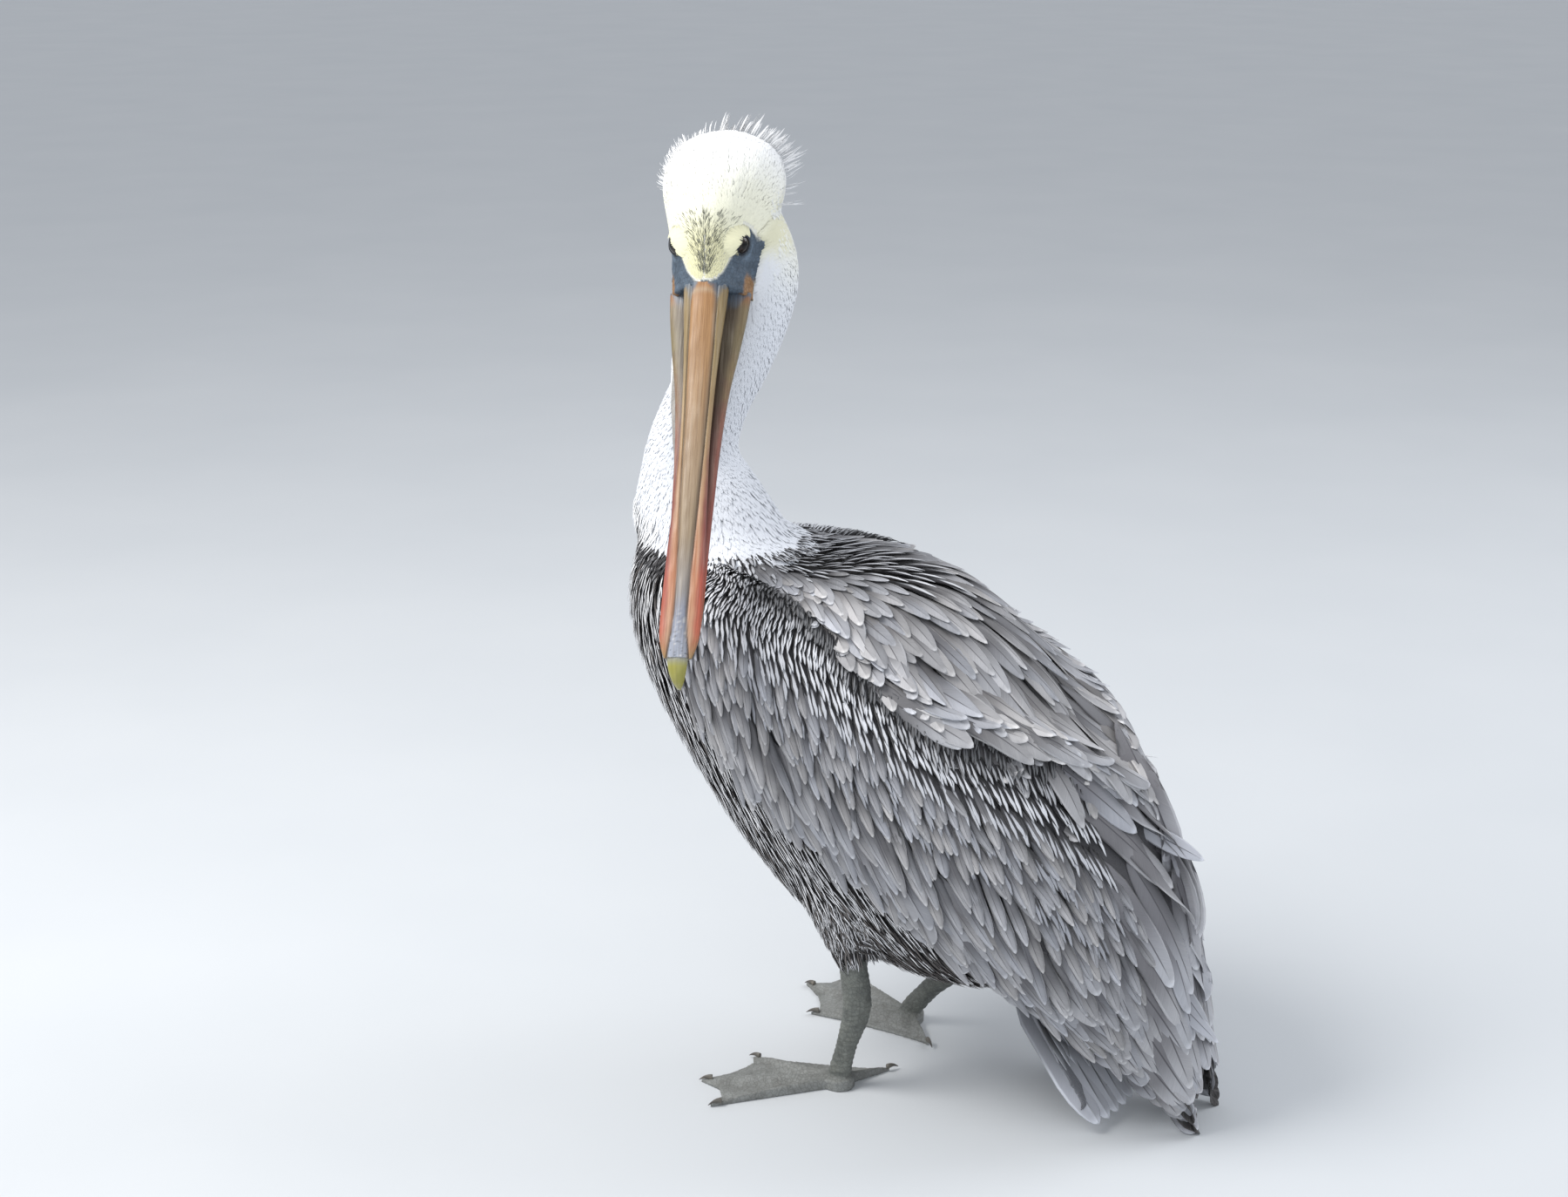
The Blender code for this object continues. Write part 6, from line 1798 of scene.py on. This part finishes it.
# ---------------------------------------------------------------- skin markings
def skin_tone(p):
    f, s, u = in_head(p)
    k = len(p)
    tone = np.tile(arr(0.05, 0.046, 0.045), (k, 1))             # under the dark breast
    wingy = (np.abs(p[:, 0]) > 0.075) | ((p[:, 1] > 0.05) & (p[:, 2] < 0.33))
    tone[wingy] = arr(0.075, 0.074, 0.080)
    tailm = (p[:, 1] > 0.115) & (p[:, 2] < 0.13)
    tone[tailm] = arr(0.20, 0.205, 0.225)
    zl = 0.4065 + 0.026 * np.clip((-0.140 - p[:, 1]) / 0.05, 0, 1)
    necky = (p[:, 2] > zl - 0.001) & (np.linalg.norm((p - arr(-0.01, -0.135, 0)) [:, :2], axis=1) < 0.090)
    tone = np.where(necky[:, None], WHITE * 0.92, tone)
    heady = (f > -0.13) & (f < 0.012) & (np.abs(s) < 0.05) & (u > -0.064) & (u < 0.03)
    tone = np.where(heady[:, None], lerp(CREAM, WHITE, 0.5) * 0.90, tone)
    b = bare_face(p) * heady
    slate = lerp(SLATE[None] * 1.05, SLATE[None] * 0.62, (0.5 + 0.5 * hash_noise(p, 0.005))[:, None])
    # orange-brown horn runs up the side of the lower jaw
    horn = smooth(-0.0150, -0.0085, f + 0.0020 * hash_noise(p, 0.003)) * smooth(0.0210, 0.0240, np.abs(s)) * smooth(-0.0150, -0.0175, u)
    slate = lerp(slate, arr(0.36, 0.19, 0.075)[None], (horn * 0.9)[:, None])
    near = np.min([np.linalg.norm(np.stack([f, s, u], 1) - c, axis=1) for c in eye_c.values()], axis=0)
    slate = lerp(slate, arr(0.022, 0.025, 0.032)[None], 0.0 * near[:, None])
    lidm = 0 * f
    for sd, c in eye_c.items():
        rel = np.stack([f, s, u], 1) - c
        r_ = np.linalg.norm(rel, axis=1)
        ca = (rel @ unit(arr(0.42, 0.80 * sd, 0.42))) / np.maximum(r_, 1e-6)
        shell = smooth(EYE_R + 0.0026, EYE_R + 0.0014, r_)
        lidm = np.maximum(lidm, shell)
        slate = lerp(slate, arr(0.018, 0.020, 0.026)[None], (shell * smooth(math.cos(rad(60)), math.cos(rad(47)), ca) * 0.9)[:, None])
        # a paler fold under the eye
        fold = np.exp(-((r_ - (EYE_R + 0.0040)) / 0.0010) ** 2) * smooth(-0.002, -0.006, rel[:, 2])
        slate = lerp(slate, SLATE[None] * 1.9, (fold * 0.5)[:, None])
    slate = lerp(slate, arr(0.020, 0.020, 0.024)[None], (gape_line(f, s, u) * 0.9)[:, None])
    tone = lerp(tone, slate, np.maximum(b, lidm)[:, None])
    lapped = (f < 0.0062) & (u > -0.040)
    pouch = (f > 0.0002) & (f < 0.27) & (u < 0.0) & (u > -0.060) & (np.abs(s) < 0.0265) & ~lapped
    pouchc = lerp(arr(0.46, 0.44, 0.41)[None], arr(0.30, 0.285, 0.27)[None], (0.5 + 0.5 * hash_noise(p * arr(1, 1, 0.15), 0.004))[:, None])
    tone = np.where(pouch[:, None], pouchc, tone)
    leg = p[:, 2] < 0.118
    legm = leg & (p[:, 1] < 0.085) & ((np.abs(p[:, 0]) > 0.03) | (p[:, 2] < 0.012))
    tarsus = lerp(arr(0.190, 0.200, 0.180)[None], arr(0.125, 0.134, 0.125)[None], (0.5 + 0.5 * hash_noise(p, 0.006))[:, None])
    web = lerp(arr(0.300, 0.310, 0.300)[None], arr(0.200, 0.205, 0.195)[None], (0.5 + 0.5 * hash_noise(p, 0.010))[:, None])
    legc = lerp(web, tarsus, smooth(0.006, 0.013, p[:, 2])[:, None])
    tone = np.where(legm[:, None], legc, tone)
    isbare = np.maximum(b, np.maximum(pouch * 0.35, legm * 1.0))
    return tone, isbare


def gape_line(f, s, u):
    return np.exp(-((f - face_border(u) - 0.0012) / 0.0017) ** 2) * smooth(-0.0235, -0.0250, u) * (np.abs(s) > 0.010)


# ---------------------------------------------------------------- assemble
# the skin stops short of the tips of tail and wings, which are vanes alone
lay = skin_v - ORIGIN
run_ = (lay - TAIL_ROOT) @ arr(0, math.cos(TAIL_SLOPE), -math.sin(TAIL_SLOPE))
far_ = (run_ > 0.116) & (lay[:, 1] > 0.10)
lay[far_] -= ((run_[far_] - 0.116) * 0.85)[:, None] * arr(0, math.cos(TAIL_SLOPE), -math.sin(TAIL_SLOPE))
skin_v = lay + ORIGIN
skin_v[:, 2] = np.maximum(skin_v[:, 2], 0.0)
skin.data.vertices.foreach_set("co", skin_v.astype(np.float32).ravel())
skin.data.update()
skin.data.materials.clear()
skin.data.materials.append(MAT["skin"])
tone_, bare_ = skin_tone(skin_v - ORIGIN)
tint(skin, tone_)
scalar(skin, "bare", bare_)
FLESH_NODES = FLESH + LIMBS + ["throat_pouch"]
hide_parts(*FLESH_NODES)
pieces = [skin] + bill() + eyes() + claws()

head_coat()
neck_coat()
under_coat()
thigh_coat()
for side_, tag_ in ((1, "left"), (-1, "right")):
    wing_coat(side_, tag_)
back_coat()
tail_coat()
pieces += coats
for ob in pieces:
    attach(ob, "root")
print("coat triangles", sum(len(o.data.polygons) for o in coats), "all", sum(len(o.data.polygons) for o in pieces))

# ---------------------------------------------------------------- floor, light, camera
fl = Tree("floor_matt")
nz = fl.noise(fl.coord(), 3.0, 3.0, 0.5)
fl.out(fl.mix(nz, (0.60, 0.625, 0.65), (0.66, 0.68, 0.70)), 0.85)
floor = new_mesh("floor", arr((-90, -90, 0), (90, -90, 0), (90, 90, 0), (-90, 90, 0)), np.array([[0, 1, 2, 3]]), fl.m, False)

world = bpy.data.worlds.new("studio")
bpy.context.scene.world = world
world.use_nodes = True
bg = world.node_tree.nodes["Background"]
bg.inputs["Color"].default_value = (0.91, 0.945, 1.0, 1)
bg.inputs["Strength"].default_value = 0.66


def lamp(name, kind, at, look, energy, size, color):
    d = bpy.data.lights.new(name, kind)
    d.energy = energy
    d.color = color
    if kind == 'AREA':
        d.shape = 'DISK'
        d.size = size
    else:
        d.angle = size
    o = bpy.data.objects.new(name, d)
    bpy.context.scene.collection.objects.link(o)
    o.location = at
    o.rotation_mode = 'QUATERNION'
    o.rotation_quaternion = (Vector(look) - Vector(at)).to_track_quat('-Z', 'Y')
    return o


lamp("key", 'AREA', (0.9, -1.3, 2.2), (0, 0, 0.35), 52, 1.3, (1.0, 0.985, 0.96))
lamp("fill", 'AREA', (2.2, 1.4, 1.2), (0, 0, 0.30), 13, 2.0, (0.92, 0.96, 1.0))
lamp("back", 'AREA', (-1.6, 1.6, 2.0), (0, 0, 0.35), 22, 1.6, (0.95, 0.97, 1.0))

az, el = rad(115.0), rad(16.5)
aim = arr(math.sin(az) * math.cos(el), -math.cos(az) * math.cos(el), math.sin(el))
CAM = arr(1.686, 0.707, 0.912) + ORIGIN
cam_d = bpy.data.cameras.new("camera")
cam_d.sensor_width = 36.0
cam_d.lens = 2932 / 1800 * 36.0
cam_d.clip_start, cam_d.clip_end = 0.02, 60.0
cam = bpy.data.objects.new("camera", cam_d)
bpy.context.scene.collection.objects.link(cam)
cam.location = CAM
cam.rotation_mode = 'QUATERNION'
cam.rotation_quaternion = Vector(-aim).to_track_quat('-Z', 'Y')
bpy.context.scene.camera = cam
bpy.context.scene.view_settings.view_transform = 'Standard'
